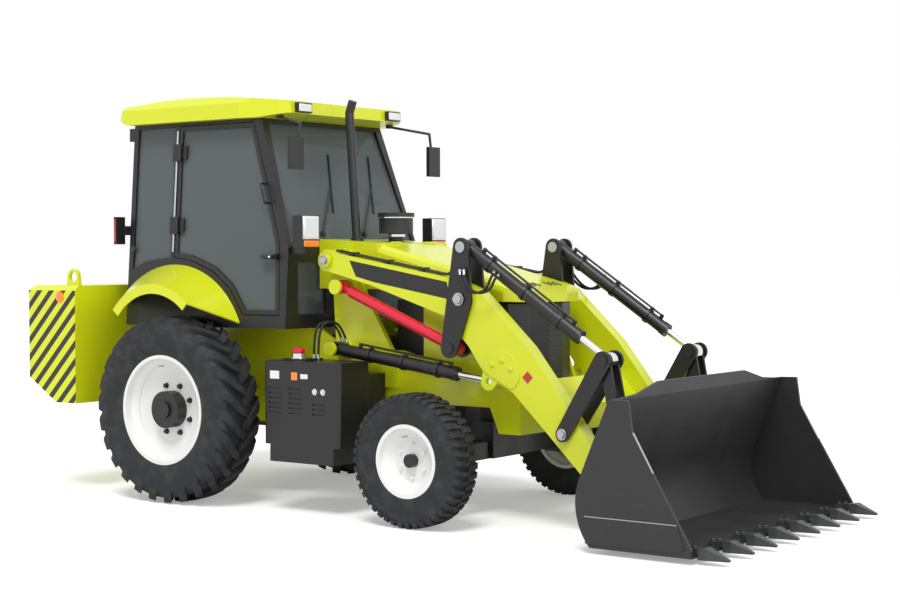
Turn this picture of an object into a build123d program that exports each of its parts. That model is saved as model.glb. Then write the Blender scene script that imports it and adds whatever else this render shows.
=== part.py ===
"""Wheeled front loader with a rear counterweight, built as an assembly.

Sizes are millimetres. While a piece is drawn, x runs forward from the rear axle, y to the left from the
middle plane, and z up from the ground. main then puts the origin under the middle of the length.
Pieces that come in left and right pairs are drawn on the left side (y > 0) and mirrored.
"""
import os
from math import atan2, cos, degrees, hypot, pi, radians, sin

from build123d import *

# ---- wheels and axles ----
WHEELBASE = 2170
REAR_TYRE_R, REAR_TYRE_W, REAR_TRACK_OUT = 682, 382, 1190
FRONT_TYRE_R, FRONT_TYRE_W, FRONT_TRACK_OUT = 447, 237, 1093
REAR_RIM_R, FRONT_RIM_R = 386, 231
REAR_LUG_H, FRONT_LUG_H = 38, 14
KINGPIN_Y = 800
STEER_ARM_X, STEER_ARM_TOP = 150, 411

# ---- loader linkage, side view (x, z) ----
ARM_PIVOT = (1119, 1766)
TIE_REAR = (1215, 1577)
LIFT_REAR = (1164, 1137)
LIFT_FRONT = (2519, 957)
CRANK_PIVOT = (2301, 1505)
CRANK_LOW = (2218, 1174)
CRANK_TOP = (2316, 1855)
LEVER_LOW = (3117, 645)
LEVER_TOP = (3417, 1129)
BUCKET_PIVOT = (3365, 360)
BUCKET_LINK = (3538, 530)

# ---- loader layers across y, from the arm's middle plane ----
ARM_Y = 570
ARM_W = 110
LEVER_GAP = 9
LEVER_T = 20
EYE_W = 65
LINK_GAP = 6
LINK_T = 18
PIN_R = 25
PIN_HEAD_T = 8
EYE_R = 50
BARREL_R = 45
ROD_R = 24
RUN = 0.3

# ---- bucket ----
BUCKET_HALF = 1172
BUCKET_PLATE = 22
BUCKET_TIP_X = 4533
TEETH = 8

# ---- chassis ----
FRAME_HALF = 420
FRAME_T = 30
TOWER_IN, TOWER_OUT = 424, 464
NOSE_X = 2640
NOSE_Z = 590

# ---- cab ----
CAB_HALF_LOW, CAB_LOW_Z = 800, 1275
CAB_HALF_TOP, CAB_TOP_Z = 690, 2800
CAB_REAR_X, CAB_FRONT_X = -745, 880
CAB_KNEE_Z, CAB_TOP_FRONT_X = 1860, 565
CAB_WALL = 45
GLASS_T = 6
DOOR_GAP = 6
DOOR_T = 34
ROOF_UNDER = ((560, CAB_TOP_Z + 0.3), (810, CAB_TOP_Z + 29))
ROOF_HALF = 780
HINGE_X, HINGE_OUT, HINGE_R, HINGE_H = -225, 24, 14, 50
HINGE_Z = (2576, 2029)
HINGE_LEAF, HINGE_SOCKET = 12, 14
FENDER_OUT = 1165

# ---- counterweight, tanks, hood ----
WEIGHT_REAR_X, WEIGHT_FRONT_X, WEIGHT_HALF = -1489, -963, 1120
WEIGHT_TOP_Z, WEIGHT_LOW_Z = 1576, 679
WEIGHT_EYE_TOP = 1703
WEIGHT_EYE_BORE = 42
TANK_REAR_X, TANK_FRONT_X = 852, 1550
TANK_IN, TANK_OUT = 668, 1000
TANK_TOP_Z, TANK_LOW_Z = 1065, 480
HOOD_HALF = 418
HOOD_HINGE_X = 1420
HOOD_FRONT_X = 2745
HOOD_T = 24

OVERALL_REAR = WEIGHT_REAR_X
SHIFT_X = -(BUCKET_TIP_X + OVERALL_REAR) / 2


# ---- drawing helpers ----
def prism_y(points, low, high):
    """A side-view outline of (x, z) points, carried from y = low to y = high."""
    wire = Polyline(*[(x, low, z) for x, z in points], close=True)
    return extrude(make_face(wire), amount=high - low, dir=(0, 1, 0))


def prism_x(points, low, high):
    """A front-view outline of (y, z) points, carried from x = low to x = high."""
    wire = Polyline(*[(low, y, z) for y, z in points], close=True)
    return extrude(make_face(wire), amount=high - low, dir=(1, 0, 0))


def prism_z(points, low, high):
    """A plan outline of (x, y) points, carried from z = low to z = high."""
    wire = Polyline(*[(x, y, low) for x, y in points], close=True)
    return extrude(make_face(wire), amount=high - low, dir=(0, 0, 1))


def block(x0, x1, y0, y1, z0, z1):
    """A box between its two corners."""
    return Pos((x0 + x1) / 2, (y0 + y1) / 2, (z0 + z1) / 2) * Box(abs(x1 - x0), abs(y1 - y0), abs(z1 - z0))


def disc_y(at, radius, low, high):
    """A round boss or pin along y about the side-view point at."""
    return Pos(at[0], (low + high) / 2, at[1]) * Rot(90, 0, 0) * Cylinder(radius, high - low)


def rod(start, end, radius):
    """A round bar from start to end."""
    a, b = Vector(*start), Vector(*end)
    return Plane(origin=a, z_dir=b - a) * Cylinder(
        radius, (b - a).length, align=(Align.CENTER, Align.CENTER, Align.MIN),
    )


def along(start, end, distance):
    """The side-view point at a distance from start towards end."""
    length = hypot(end[0] - start[0], end[1] - start[1])
    share = distance / length
    return (start[0] + share * (end[0] - start[0]), start[1] + share * (end[1] - start[1]))


def circle_through(points):
    """The centre and radius of the circle through three side-view points."""
    (x0, z0), (x1, z1), (x2, z2) = points
    a, b = x1 - x0, z1 - z0
    c, d = x2 - x0, z2 - z0
    e, f = (a * a + b * b) / 2, (c * c + d * d) / 2
    turn = a * d - b * c
    centre = (x0 + (e * d - f * b) / turn, z0 + (a * f - c * e) / turn)
    return centre, hypot(x0 - centre[0], z0 - centre[1])


def span(start, end):
    """The distance between two side-view points."""
    return hypot(end[0] - start[0], end[1] - start[1])


def bar_y(start, end, half_start, half_end, low, high):
    """A flat link: two round ends joined by their tangents, as a plate from y = low to y = high."""
    turn = atan2(end[1] - start[1], end[0] - start[0])
    side = (-sin(turn), cos(turn))
    corners = [
        (start[0] + half_start * side[0], start[1] + half_start * side[1]),
        (end[0] + half_end * side[0], end[1] + half_end * side[1]),
        (end[0] - half_end * side[0], end[1] - half_end * side[1]),
        (start[0] - half_start * side[0], start[1] - half_start * side[1]),
    ]
    plate = prism_y(corners, low, high)
    return plate + disc_y(start, half_start, low, high) + disc_y(end, half_end, low, high)


def ring_y(profile, at, centre_y):
    """A wheel part: a closed profile of (radius, y) points turned about the axle at the side-view point."""
    wire = Polyline(*[(radius, offset) for radius, offset in profile], close=True)
    return Pos(at[0], centre_y, at[1]) * revolve(make_face(wire), axis=Axis.Y)


def pair(shape):
    """The left piece and its mirror image on the right."""
    return list(shape.solids()) + list(mirror(shape, about=Plane.XZ).solids())


def side_plane(y):
    """The side-view drawing plane at y, with its own x forward and its own y up."""
    return Plane((0, y, 0), x_dir=(1, 0, 0), z_dir=(0, -1, 0))


def right(shape):
    """The mirror image on the right of a piece drawn on the left."""
    return mirror(shape, about=Plane.XZ)


# ---- layers across y that the linkage shares ----
ARM_IN, ARM_OUT = ARM_Y - ARM_W / 2, ARM_Y + ARM_W / 2
PLATE_OUT = (ARM_OUT + LEVER_GAP, ARM_OUT + LEVER_GAP + LEVER_T)
PLATE_IN = (ARM_IN - LEVER_GAP - LEVER_T, ARM_IN - LEVER_GAP)
LINK_OUT = (PLATE_OUT[0] - LINK_GAP - LINK_T, PLATE_OUT[0] - LINK_GAP)
LINK_IN = (PLATE_IN[1] + LINK_GAP, PLATE_IN[1] + LINK_GAP + LINK_T)
EYE = (ARM_Y - EYE_W / 2, ARM_Y + EYE_W / 2)


def side_plates(start, middle, end, half_start, half_middle, half_end):
    """The pair of lever plates either side of an arm, bent at a middle point."""
    plates = []
    for low, high in (PLATE_IN, PLATE_OUT):
        plates.append(
            bar_y(start, middle, half_start, half_middle, low, high)
            + bar_y(middle, end, half_middle, half_end, low, high)
        )
    return plates


def pin_stubs(at, low=EYE[0], high=EYE[1], radius=PIN_R):
    """The two halves of a pin whose middle belongs to the eye between the plates, from low to high."""
    outer = disc_y(at, radius, high + RUN, PLATE_OUT[1])
    outer += disc_y(at, radius * 1.5, PLATE_OUT[1], PLATE_OUT[1] + PIN_HEAD_T)
    inner = disc_y(at, radius, PLATE_IN[0], low - RUN)
    inner += disc_y(at, radius * 1.5, PLATE_IN[0] - PIN_HEAD_T, PLATE_IN[0])
    return outer, inner


def pin_across(at, radius=PIN_R, low=PLATE_IN[0], high=PLATE_OUT[1]):
    """A pin through both plates with a flat head at each end."""
    heads = disc_y(at, radius * 1.5, high, high + PIN_HEAD_T) + disc_y(
        at, radius * 1.5, low - PIN_HEAD_T, low,
    )
    return disc_y(at, radius, low, high) + heads


# ---- wheels ----
TYRE_SIDES = 26
# Tread bars: count on each side, thickness and lean across the tread.
REAR_BARS = (26, 70, 150)
FRONT_BARS = (28, 50, 26)


def tyre_section(y, radius):
    """A many-sided section of a tyre's carcass at y from its middle."""
    return side_plane(y) * RegularPolygon(radius, TYRE_SIDES)


def tyre(radius, width, rim_radius, lug, count, bar, lean):
    """A tyre about the origin: a many-sided bulged carcass with two staggered rows of leaning tread bars."""
    half = width / 2
    tread = radius - lug
    crest = (radius**2 - ((lean + bar) / 2) ** 2) ** 0.5
    depth = tread - rim_radius
    outline = (
        (0.80, rim_radius + 0.10 * depth),
        (0.97, rim_radius + 0.34 * depth),
        (0.99, rim_radius + 0.62 * depth),
        (0.92, tread - 0.9 * lug),
        (0.70, tread),
    )
    faces = [tyre_section(-share * half, reach) for share, reach in outline]
    faces += [tyre_section(share * half, reach) for share, reach in reversed(outline)]
    carcass = loft(faces, ruled=True) - disc_y((0, 0), rim_radius + RUN, -half, half)
    shoulder = half - 1
    plan = [
        (-lean / 2 - bar / 2, -6), (lean / 2 - bar / 2, shoulder),
        (lean / 2 + bar / 2, shoulder), (-lean / 2 + bar / 2, -6),
    ]
    across = [
        (-6, tread - lug), (-6, crest), (0.74 * half, crest), (0.94 * half, radius - 0.8 * lug),
        (shoulder, radius - 2.4 * lug), (0.80 * half, radius - 3.0 * lug), (0.60 * half, tread - lug),
    ]
    lug_bar = prism_z(plan, rim_radius, radius) & prism_x(across, -radius, radius)
    other = mirror(lug_bar, about=Plane.XZ)
    turn = 360 / count
    row = [Rot(0, turn * i, 0) * lug_bar for i in range(count)]
    row += [Rot(0, turn * (i + 0.5), 0) * other for i in range(count)]
    return carcass.fuse(*row)


def rim(rim_radius, width, disc_in, bolt_radius, centre_y, axle):
    """A wheel rim with its flanges and well, and its dished centre disc set in from the outer face."""
    half = width / 2 * 0.80
    thick = 12
    well = rim_radius - 42
    profile = [
        (rim_radius + 14, -half - 10),
        (rim_radius + 14, -half - RUN),
        (rim_radius, -half - RUN),
        (rim_radius, -half * 0.70),
        (well, -half * 0.45),
        (well, half * 0.45),
        (rim_radius, half * 0.70),
        (rim_radius, half + RUN),
        (rim_radius + 14, half + RUN),
        (rim_radius + 14, half + 10),
        (rim_radius - thick, half + 10),
        (rim_radius - thick, half * 0.70),
        (well - thick, half * 0.45),
        (well - thick, disc_in),
        (bolt_radius + 40, disc_in - 22),
        (bolt_radius - 60, disc_in - 22),
        (bolt_radius - 60, disc_in - 38),
        (bolt_radius + 44, disc_in - 38),
        (well - thick, disc_in - 18),
        (well - thick, -half * 0.45),
        (rim_radius - thick, -half * 0.70),
        (rim_radius - thick, -half - 10),
    ]
    return ring_y(profile, axle, centre_y)


REAR_Y = REAR_TRACK_OUT - REAR_TYRE_W / 2
FRONT_Y = FRONT_TRACK_OUT - FRONT_TYRE_W / 2
REAR_AXLE = (0, REAR_TYRE_R)
FRONT_AXLE = (WHEELBASE, FRONT_TYRE_R)
REAR_DISC_IN, FRONT_DISC_IN = 60, 40
REAR_BOLT_R, FRONT_BOLT_R = 195, 105
AXLE_TUBE_R = 110


def rear_hub():
    """The planetary drum that the rear wheel bolts to, with its flange behind the wheel disc."""
    face = REAR_Y + REAR_DISC_IN - 38
    flange = disc_y(REAR_AXLE, REAR_BOLT_R + 25, face - 26, face - RUN)
    drum = disc_y(REAR_AXLE, REAR_BOLT_R - 60 - RUN, face - 26, face + 110)
    return flange + drum + disc_y(REAR_AXLE, 60, face + 110, face + 128)


def front_hub():
    """The front wheel hub with its flange and cap."""
    face = FRONT_Y + FRONT_DISC_IN - 38
    flange = disc_y(FRONT_AXLE, FRONT_BOLT_R + 22, face - 22, face - RUN)
    cap = disc_y(FRONT_AXLE, FRONT_BOLT_R - 60 - RUN, face - 22, face + 62)
    return flange + cap


# ---- loader ----
ARM_TOP = [(1096, 1836), (2245, 1639), (2446, 1559), (2836, 1196), (3010, 977), (3312, 587)]
ARM_FRONT = [(3432, 378), (3400, 300), (3325, 304)]
ARM_LOW = [
    (3235, 398), (2956, 668), (2713, 897), (2495, 1003), (2361, 1189), (2159, 1390), (1524, 1592),
    (1096, 1696),
]


def loader_arms():
    """Two box arms with their lift-cylinder ears, joined by a folded cross beam."""
    arm = prism_y(ARM_TOP + ARM_FRONT + ARM_LOW, ARM_IN, ARM_OUT)
    arm += disc_y(ARM_PIVOT, 78, ARM_IN, ARM_OUT) + disc_y(BUCKET_PIVOT, 70, ARM_IN, ARM_OUT)
    ear_low = ARM_IN
    ear = bar_y(LIFT_FRONT, (2580, 1080), 58, 90, ear_low, ear_low + 20)
    ear += bar_y(LIFT_FRONT, (2580, 1080), 58, 90, ARM_OUT - 20, ARM_OUT)
    arm += ear
    slot = disc_y(LIFT_FRONT, EYE_R + 22, ARM_IN + 20, ARM_OUT - 20)
    slot += prism_y([(2300, 860), (2560, 860), (2560, 1030), (2300, 1060)], ARM_IN + 20, ARM_OUT - 20)
    arm -= slot
    arm -= disc_y(LIFT_FRONT, PIN_R + RUN, ARM_IN - 1, ARM_OUT + 1)
    for at in (ARM_PIVOT, CRANK_PIVOT, LEVER_LOW, BUCKET_PIVOT):
        arm -= disc_y(at, PIN_R + RUN, ARM_IN - 1, ARM_OUT + 1)
    beam = prism_y(
        [(2790, 960), (2850, 975), (3010, 800), (3035, 640), (3000, 640), (2975, 780)], -ARM_IN, ARM_IN,
    )
    return arm + right(arm) + beam


def cranks():
    """The bell cranks: two plates each, pivoted on the arm by their middle."""
    plates = side_plates(CRANK_LOW, CRANK_PIVOT, CRANK_TOP, 68, 100, 62)
    inner, outer = plates
    crank = inner + outer + disc_y(CRANK_PIVOT, PIN_R, PLATE_IN[1], PLATE_OUT[0])
    crank += pin_across(CRANK_PIVOT)
    for stub in pin_stubs(CRANK_LOW):
        crank += stub
    crank -= disc_y(CRANK_TOP, PIN_R + RUN, PLATE_IN[0] - 1, PLATE_OUT[1] + 1)
    return pair(crank)


def crank_pins():
    """The pins at the tops of the bell cranks, which carry the tilt cylinders."""
    return pair(pin_across(CRANK_TOP))


def cylinder_barrel(start, end, length):
    """A hydraulic barrel from its eye at start, with its gland ring at the far end, bored for its rod."""
    begin = along(start, end, EYE_R - 10)
    stop = along(start, end, length)
    gland = along(start, end, length - 46)
    axis_low = (begin[0], ARM_Y, begin[1])
    body = rod(axis_low, (stop[0], ARM_Y, stop[1]), BARREL_R)
    body += rod((gland[0], ARM_Y, gland[1]), (stop[0], ARM_Y, stop[1]), BARREL_R + 4)
    body += disc_y(start, EYE_R, *EYE)
    body -= disc_y(start, PIN_R + RUN, ARM_IN, ARM_OUT)
    bore_from = along(start, end, EYE_R + 40)
    body -= rod((bore_from[0], ARM_Y, bore_from[1]), (end[0], ARM_Y, end[1]), ROD_R + RUN)
    return body


def cylinder_rod(start, end, hidden):
    """A bright rod that reaches back into its barrel, with its eye and pin disc at the far end."""
    begin = along(start, end, hidden)
    stop = along(start, end, span(start, end) - EYE_R + 12)
    piece = rod((begin[0], ARM_Y, begin[1]), (stop[0], ARM_Y, stop[1]), ROD_R)
    return piece + disc_y(end, EYE_R, *EYE)


def tie_rods():
    """The red rods from the towers to the feet of the bell cranks."""
    a, b = along(TIE_REAR, CRANK_LOW, 95), along(TIE_REAR, CRANK_LOW, span(TIE_REAR, CRANK_LOW) - 95)
    tube = rod((a[0], ARM_Y, a[1]), (b[0], ARM_Y, b[1]), 40)
    c, d = along(TIE_REAR, CRANK_LOW, 35), along(TIE_REAR, CRANK_LOW, span(TIE_REAR, CRANK_LOW) - 35)
    tube += rod((c[0], ARM_Y, c[1]), (d[0], ARM_Y, d[1]), 29)
    tube += disc_y(TIE_REAR, EYE_R, *EYE) - disc_y(TIE_REAR, PIN_R + RUN, *EYE)
    tube += disc_y(CRANK_LOW, EYE_R, *EYE)
    tube -= disc_y(TIE_REAR, PIN_R + RUN, EYE[0] - 1, EYE[1] + 1)
    return pair(tube)


LIFT_CLOSED = 1080
TILT_CLOSED = 1070


def lift_barrels():
    return pair(cylinder_barrel(LIFT_REAR, LIFT_FRONT, LIFT_CLOSED))


def lift_rods():
    return pair(cylinder_rod(LIFT_REAR, LIFT_FRONT, EYE_R + 60))


def tilt_barrels():
    return pair(cylinder_barrel(CRANK_TOP, LEVER_TOP, TILT_CLOSED))


def tilt_rods():
    return pair(cylinder_rod(CRANK_TOP, LEVER_TOP, EYE_R + 190))


def lever_pins():
    """The pins low on the arms that carry the tilt levers."""
    return pair(pin_across(LEVER_LOW))


def levers():
    """The tilt levers: two plates each, from the arm up to the tilt rod, with their top pin's ends."""
    lever = None
    for low, high in (PLATE_IN, PLATE_OUT):
        plate = bar_y(LEVER_LOW, LEVER_TOP, 50, 62, low, high)
        lever = plate if lever is None else lever + plate
    lever -= disc_y(LEVER_LOW, PIN_R + RUN, PLATE_IN[0] - 1, PLATE_OUT[1] + 1)
    lever += disc_y(LEVER_TOP, PIN_R * 1.5, PLATE_OUT[1], PLATE_OUT[1] + PIN_HEAD_T)
    lever += disc_y(LEVER_TOP, PIN_R * 1.5, PLATE_IN[0] - PIN_HEAD_T, PLATE_IN[0])
    return pair(lever)


def link_pins():
    """The pins in the bucket's rear ears that carry the bucket links."""
    return pair(pin_across(BUCKET_LINK))


def links():
    """The bucket links: two bars each between the lever plates, with a spacer tube round the bucket's pin."""
    bars = disc_y(BUCKET_LINK, PIN_R + 9, LINK_IN[1], LINK_OUT[0])
    for low, high in (LINK_IN, LINK_OUT):
        bars += bar_y(LEVER_TOP, BUCKET_LINK, 40, 36, low, high)
    for low, high in ((PLATE_IN[1] + RUN, EYE[0] - RUN), (EYE[1] + RUN, PLATE_OUT[0] - RUN)):
        bars += disc_y(LEVER_TOP, 40, low, high)
    bars -= disc_y(BUCKET_LINK, PIN_R + RUN, PLATE_IN[0] - 1, PLATE_OUT[1] + 1)
    return pair(bars)


def bucket_pins():
    """The pins at the arms' tips that carry the bucket."""
    return pair(pin_across(BUCKET_PIVOT))




def bucket():
    """The bucket: a rolled shell between two side plates, its cutting edge, spill guard and rear ears."""
    outer = Line((3774, 935), (3576, 470))
    inside_half = BUCKET_HALF - BUCKET_PLATE
    heel = ThreePointArc((3576, 470), (3545, 240), (3640, 38))
    floor = Line((3640, 38), (4330, 38))
    tip = Line((4330, 38), (4330, 62))
    top = Line((4330, 62), (3655, 62))
    inner = ThreePointArc((3655, 62), (3568, 242), (3597, 461))
    back = Line((3597, 461), (3797, 932))
    close = Line((3797, 932), (3774, 935))
    face = make_face([outer, heel, floor, tip, top, inner, back, close])
    shell = extrude(side_plane(-inside_half) * face, amount=-2 * inside_half)
    cheek_top = Polyline((3774, 935), (3908, 938), (3935, 750), (4330, 85), (4330, 38), (3640, 38))
    cheek_heel = ThreePointArc((3640, 38), (3545, 240), (3576, 470))
    cheek_back = Line((3576, 470), (3774, 935))
    cheek = make_face([cheek_top, cheek_heel, cheek_back])
    left = extrude(side_plane(BUCKET_HALF) * cheek, amount=BUCKET_PLATE)
    guard = prism_x(
        [(-inside_half, 930), (inside_half, 930), (854, 952), (587, 1014), (-587, 1014), (-854, 952)],
        3774,
        3797,
    )
    piece = shell + left + right(left) + guard
    space = Polyline((3640, 40), (4330, 40), (3935, 750), (3920, 931), (3796, 931), (3596, 462))
    hollow = make_face([space, ThreePointArc((3596, 462), (3560, 240), (3640, 40))])
    cavity = extrude(side_plane(-inside_half) * hollow, amount=-2 * inside_half)
    for low, high in (PLATE_IN, PLATE_OUT):
        ear = prism_y([(3500, 575), (3700, 800), (3650, 90), (3560, 110), (3320, 315)], low, high)
        ear += disc_y(BUCKET_PIVOT, 68, low, high) + disc_y(BUCKET_LINK, 56, low, high)
        for at in (BUCKET_PIVOT, BUCKET_LINK):
            ear -= disc_y(at, PIN_R + RUN, low - 1, high + 1)
        ear -= cavity
        piece += ear + right(ear)
    return piece


def bucket_teeth():
    """Digging teeth on the cutting edge, each with its two-sided shank."""
    teeth = []
    for i in range(TEETH):
        y = -1085 + i * 2170 / (TEETH - 1)
        side = [
            (4240, 62.3), (4345, 62.3), (4345, 30), (BUCKET_TIP_X, 30), (BUCKET_TIP_X, 42), (4390, 100), (
                4240, 84,
            ),
        ]
        plan = [
            (4235, y - 26), (4300, y - 26), (4345, y - 40), (4400, y - 40), (BUCKET_TIP_X, y - 12),
            (BUCKET_TIP_X, y + 12), (4400, y + 40), (4345, y + 40), (4300, y + 26), (4235, y + 26),
        ]
        tooth = prism_y(side, y - 45, y + 45) & prism_z(plan, 0, 200)
        teeth += tooth.solids()
    return teeth


# ---- chassis ----
def chassis_frame():
    """Side plates with the engine openings, the nose, cross members and the loader towers."""
    outline = [
        (-780, 560), (-780, 860), (-330, 860), (-260, CAB_LOW_Z - RUN), (860, CAB_LOW_Z - RUN), (1130, 1130),
        (1640, 1130), (1830, 1080),
        (1830, 1430), (2360, 1430), (2560, 920), (NOSE_X, 920), (NOSE_X, NOSE_Z), (2465, NOSE_Z), (2390, 765),
        (700, 765), (500, 560),
    ]
    side = prism_y(outline, FRAME_HALF - FRAME_T, FRAME_HALF)
    side -= disc_y(REAR_AXLE, AXLE_TUBE_R + RUN, FRAME_HALF - FRAME_T - 1, FRAME_HALF + 1)
    tower = prism_y(
        [(1040, 1846), (1190, 1846), (1346, 1514), (1583, 1128), (1601, 870), (1090, 870), (1040, 1700)],
        TOWER_IN, TOWER_OUT,
    )
    tower += block(1120, 1590, FRAME_HALF - FRAME_T, TOWER_IN, 880, 1120)
    tower += disc_y(ARM_PIVOT, 90, TOWER_IN, TOWER_OUT)
    tower += block(1060, 1170, HOOD_HALF + RUN, TOWER_IN, 1620, 1740)
    for at, reach in ((ARM_PIVOT, 70), (TIE_REAR, 58), (LIFT_REAR, 62)):
        tower += disc_y(at, reach, TOWER_OUT, ARM_IN - 8)
        tower += disc_y(at, PIN_R, TOWER_OUT, PLATE_OUT[1])
        tower += disc_y(at, 52, ARM_OUT + 6, PLATE_OUT[1])
    half = side + tower
    frame = half + right(half)
    inner = FRAME_HALF - FRAME_T
    cross_members = (
        (-780, -740, 560, 860),
        (440, 500, 600, 765),
        (1200, 1260, 765, 800),
        (1960, 2380, 765, 800),
        (NOSE_X - 80, NOSE_X, NOSE_Z, 920),
    )
    for x0, x1, z0, z1 in cross_members:
        frame += block(x0, x1, -inner, inner, z0, z1)
    frame += block(1045, 1085, -TOWER_IN, TOWER_IN, 1250, 1330)
    return frame


def counterweight():
    """The cast box behind the cab with its sloped lower rear edge and two lifting eyes."""
    side = [
        (WEIGHT_REAR_X, 865), (WEIGHT_REAR_X, WEIGHT_TOP_Z), (WEIGHT_FRONT_X, WEIGHT_TOP_Z),
        (WEIGHT_FRONT_X, WEIGHT_LOW_Z), (-1184, WEIGHT_LOW_Z),
    ]
    bevel = 38
    front = [
        (-WEIGHT_HALF, WEIGHT_LOW_Z), (-WEIGHT_HALF, WEIGHT_TOP_Z - bevel), (
            -WEIGHT_HALF + bevel, WEIGHT_TOP_Z,
        ),
        (WEIGHT_HALF - bevel, WEIGHT_TOP_Z), (WEIGHT_HALF, WEIGHT_TOP_Z - bevel), (WEIGHT_HALF, WEIGHT_LOW_Z),
    ]
    side[1:2] = [(WEIGHT_REAR_X, WEIGHT_TOP_Z - bevel), (WEIGHT_REAR_X + bevel, WEIGHT_TOP_Z)]
    body = prism_y(side, -WEIGHT_HALF, WEIGHT_HALF) & prism_x(front, WEIGHT_REAR_X, WEIGHT_FRONT_X)
    body += block(WEIGHT_FRONT_X, -780, -380, 380, 600, 840)
    for y in (-960, 960):
        eye = bar_y((-1148, WEIGHT_TOP_Z), (-1148, WEIGHT_EYE_TOP - 62), 70, 62, y - 14, y + 14)
        eye -= disc_y((-1148, WEIGHT_EYE_TOP - 62), WEIGHT_EYE_BORE, y - 15, y + 15)
        body += eye
    return body


def front_axle():
    """The front axle beam on its centre trunnion, with a yoke at each end for the knuckles."""
    beam = block(
        WHEELBASE - 70, WHEELBASE + 70, -KINGPIN_Y + 90, KINGPIN_Y - 90, FRONT_TYRE_R - 60,
        FRONT_TYRE_R + 60,
    )
    beam += block(WHEELBASE - 95, WHEELBASE + 95, -200, 200, FRONT_TYRE_R - 60, 640)
    beam += block(WHEELBASE - 90, WHEELBASE + 90, -90, 90, 640, 765 - RUN)
    yoke = block(WHEELBASE - 60, WHEELBASE + 60, KINGPIN_Y - 110, KINGPIN_Y + 45, 350, 375)
    yoke += block(WHEELBASE - 60, WHEELBASE + 60, KINGPIN_Y - 110, KINGPIN_Y + 45, 519, 544)
    yoke += block(WHEELBASE - 60, WHEELBASE + 60, KINGPIN_Y - 110, KINGPIN_Y - 80, 350, 544)
    kingpin = Pos(WHEELBASE, KINGPIN_Y, 447) * Cylinder(20, 200)
    return beam + yoke + right(yoke) + kingpin + right(kingpin)


def knuckle():
    """A steering knuckle on its kingpin, with the wheel spindle and the steering arm."""
    body = block(WHEELBASE - 48, WHEELBASE + 48, KINGPIN_Y - 48, KINGPIN_Y + 52, 383, 511)
    face = FRONT_Y + FRONT_DISC_IN - 60 - RUN
    body += disc_y(FRONT_AXLE, 44, KINGPIN_Y, face)
    arm_x = (WHEELBASE - STEER_ARM_X - 26, WHEELBASE - 40)
    body += block(*arm_x, KINGPIN_Y - 20, KINGPIN_Y + 20, STEER_ARM_TOP - 28, STEER_ARM_TOP)
    body -= Pos(WHEELBASE, KINGPIN_Y, 447) * Cylinder(20 + RUN, 300)
    return body


def track_rod():
    """The rod that joins the two steering arms, with a ball end above each arm."""
    half = KINGPIN_Y
    height = STEER_ARM_TOP + RUN + 18
    bar = rod((WHEELBASE - STEER_ARM_X, -half, height), (WHEELBASE - STEER_ARM_X, half, height), 16)
    for y in (-half, half):
        bar += Pos(WHEELBASE - STEER_ARM_X, y, height) * Cylinder(24, 36)
    return bar


def rear_axle():
    """The rear transaxle housing and its axle tubes."""
    inner = REAR_Y + REAR_DISC_IN - 38 - 26 - RUN
    housing = disc_y(REAR_AXLE, AXLE_TUBE_R, -inner, inner)
    housing += block(-230, 420, -210, 210, 500, 880)
    for sign in (-1, 1):
        low, high = sorted((sign * (FRAME_HALF + RUN), sign * (FRAME_HALF + 62)))
        housing += block(-130, 130, low, high, 560, 820)
    return housing


def engine_block():
    """The engine and gearbox as one plain mass."""
    return block(1450, 2350, -230, 230, 800 + RUN, 1480) + block(700, 1450, -170, 170, 830, 1200)


def grille():
    """The curved front cover with the radiator behind it."""
    half = FRAME_HALF - FRAME_T - RUN
    front = 2650
    plan = [
        (2380, -half), (2520, -half), (2610, -250), (front, -90), (front, 90), (2610, 250), (2520, half),
        (2380, half),
    ]
    shell = prism_z(plan, 925.3, 1468)
    inner = [
        (2300, -half + 20), (2515, -half + 20), (2594, -240), (front - 20, -80), (front - 20, 80),
        (2594, 240), (2515, half - 20), (2300, half - 20),
    ]
    return shell - prism_z(inner, 900, 1448)


HOOD_HINGE = (HOOD_HINGE_X, 1890)
HOOD_HINGE_R, HOOD_HINGE_Y = 8, 200
LID_SPANS = ((-20, 20),)
COWL_SPANS = ((-60, -20 - RUN), (20 + RUN, 60))


def hinge_rounds(spans, radius):
    """Round pieces on the hood's hinge line, at the spans along y from each hinge's middle."""
    rounds = None
    for middle in (-HOOD_HINGE_Y, HOOD_HINGE_Y):
        for low, high in spans:
            piece = disc_y(HOOD_HINGE, radius, middle + low, middle + high)
            rounds = piece if rounds is None else rounds + piece
    return rounds


HOOD_CROWN = ((1400, 1890), (2560, 1596), (2760, 1536))


def hood_section(x, top):
    """The hood's section at x: flat sides, bevelled shoulders and a slightly crowned top."""
    half = HOOD_HALF
    points = [
        (-half, 1300), (-half, top - 62), (-half + 16, top - 32), (-half + 60, top - 10), (
            -half + 200, top - 2,
        ),
        (half - 200, top - 2), (half - 60, top - 10), (half - 16, top - 32), (half, top - 62), (half, 1300),
    ]
    return Plane.YZ.offset(x) * make_face(Polyline(*points, close=True))


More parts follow.
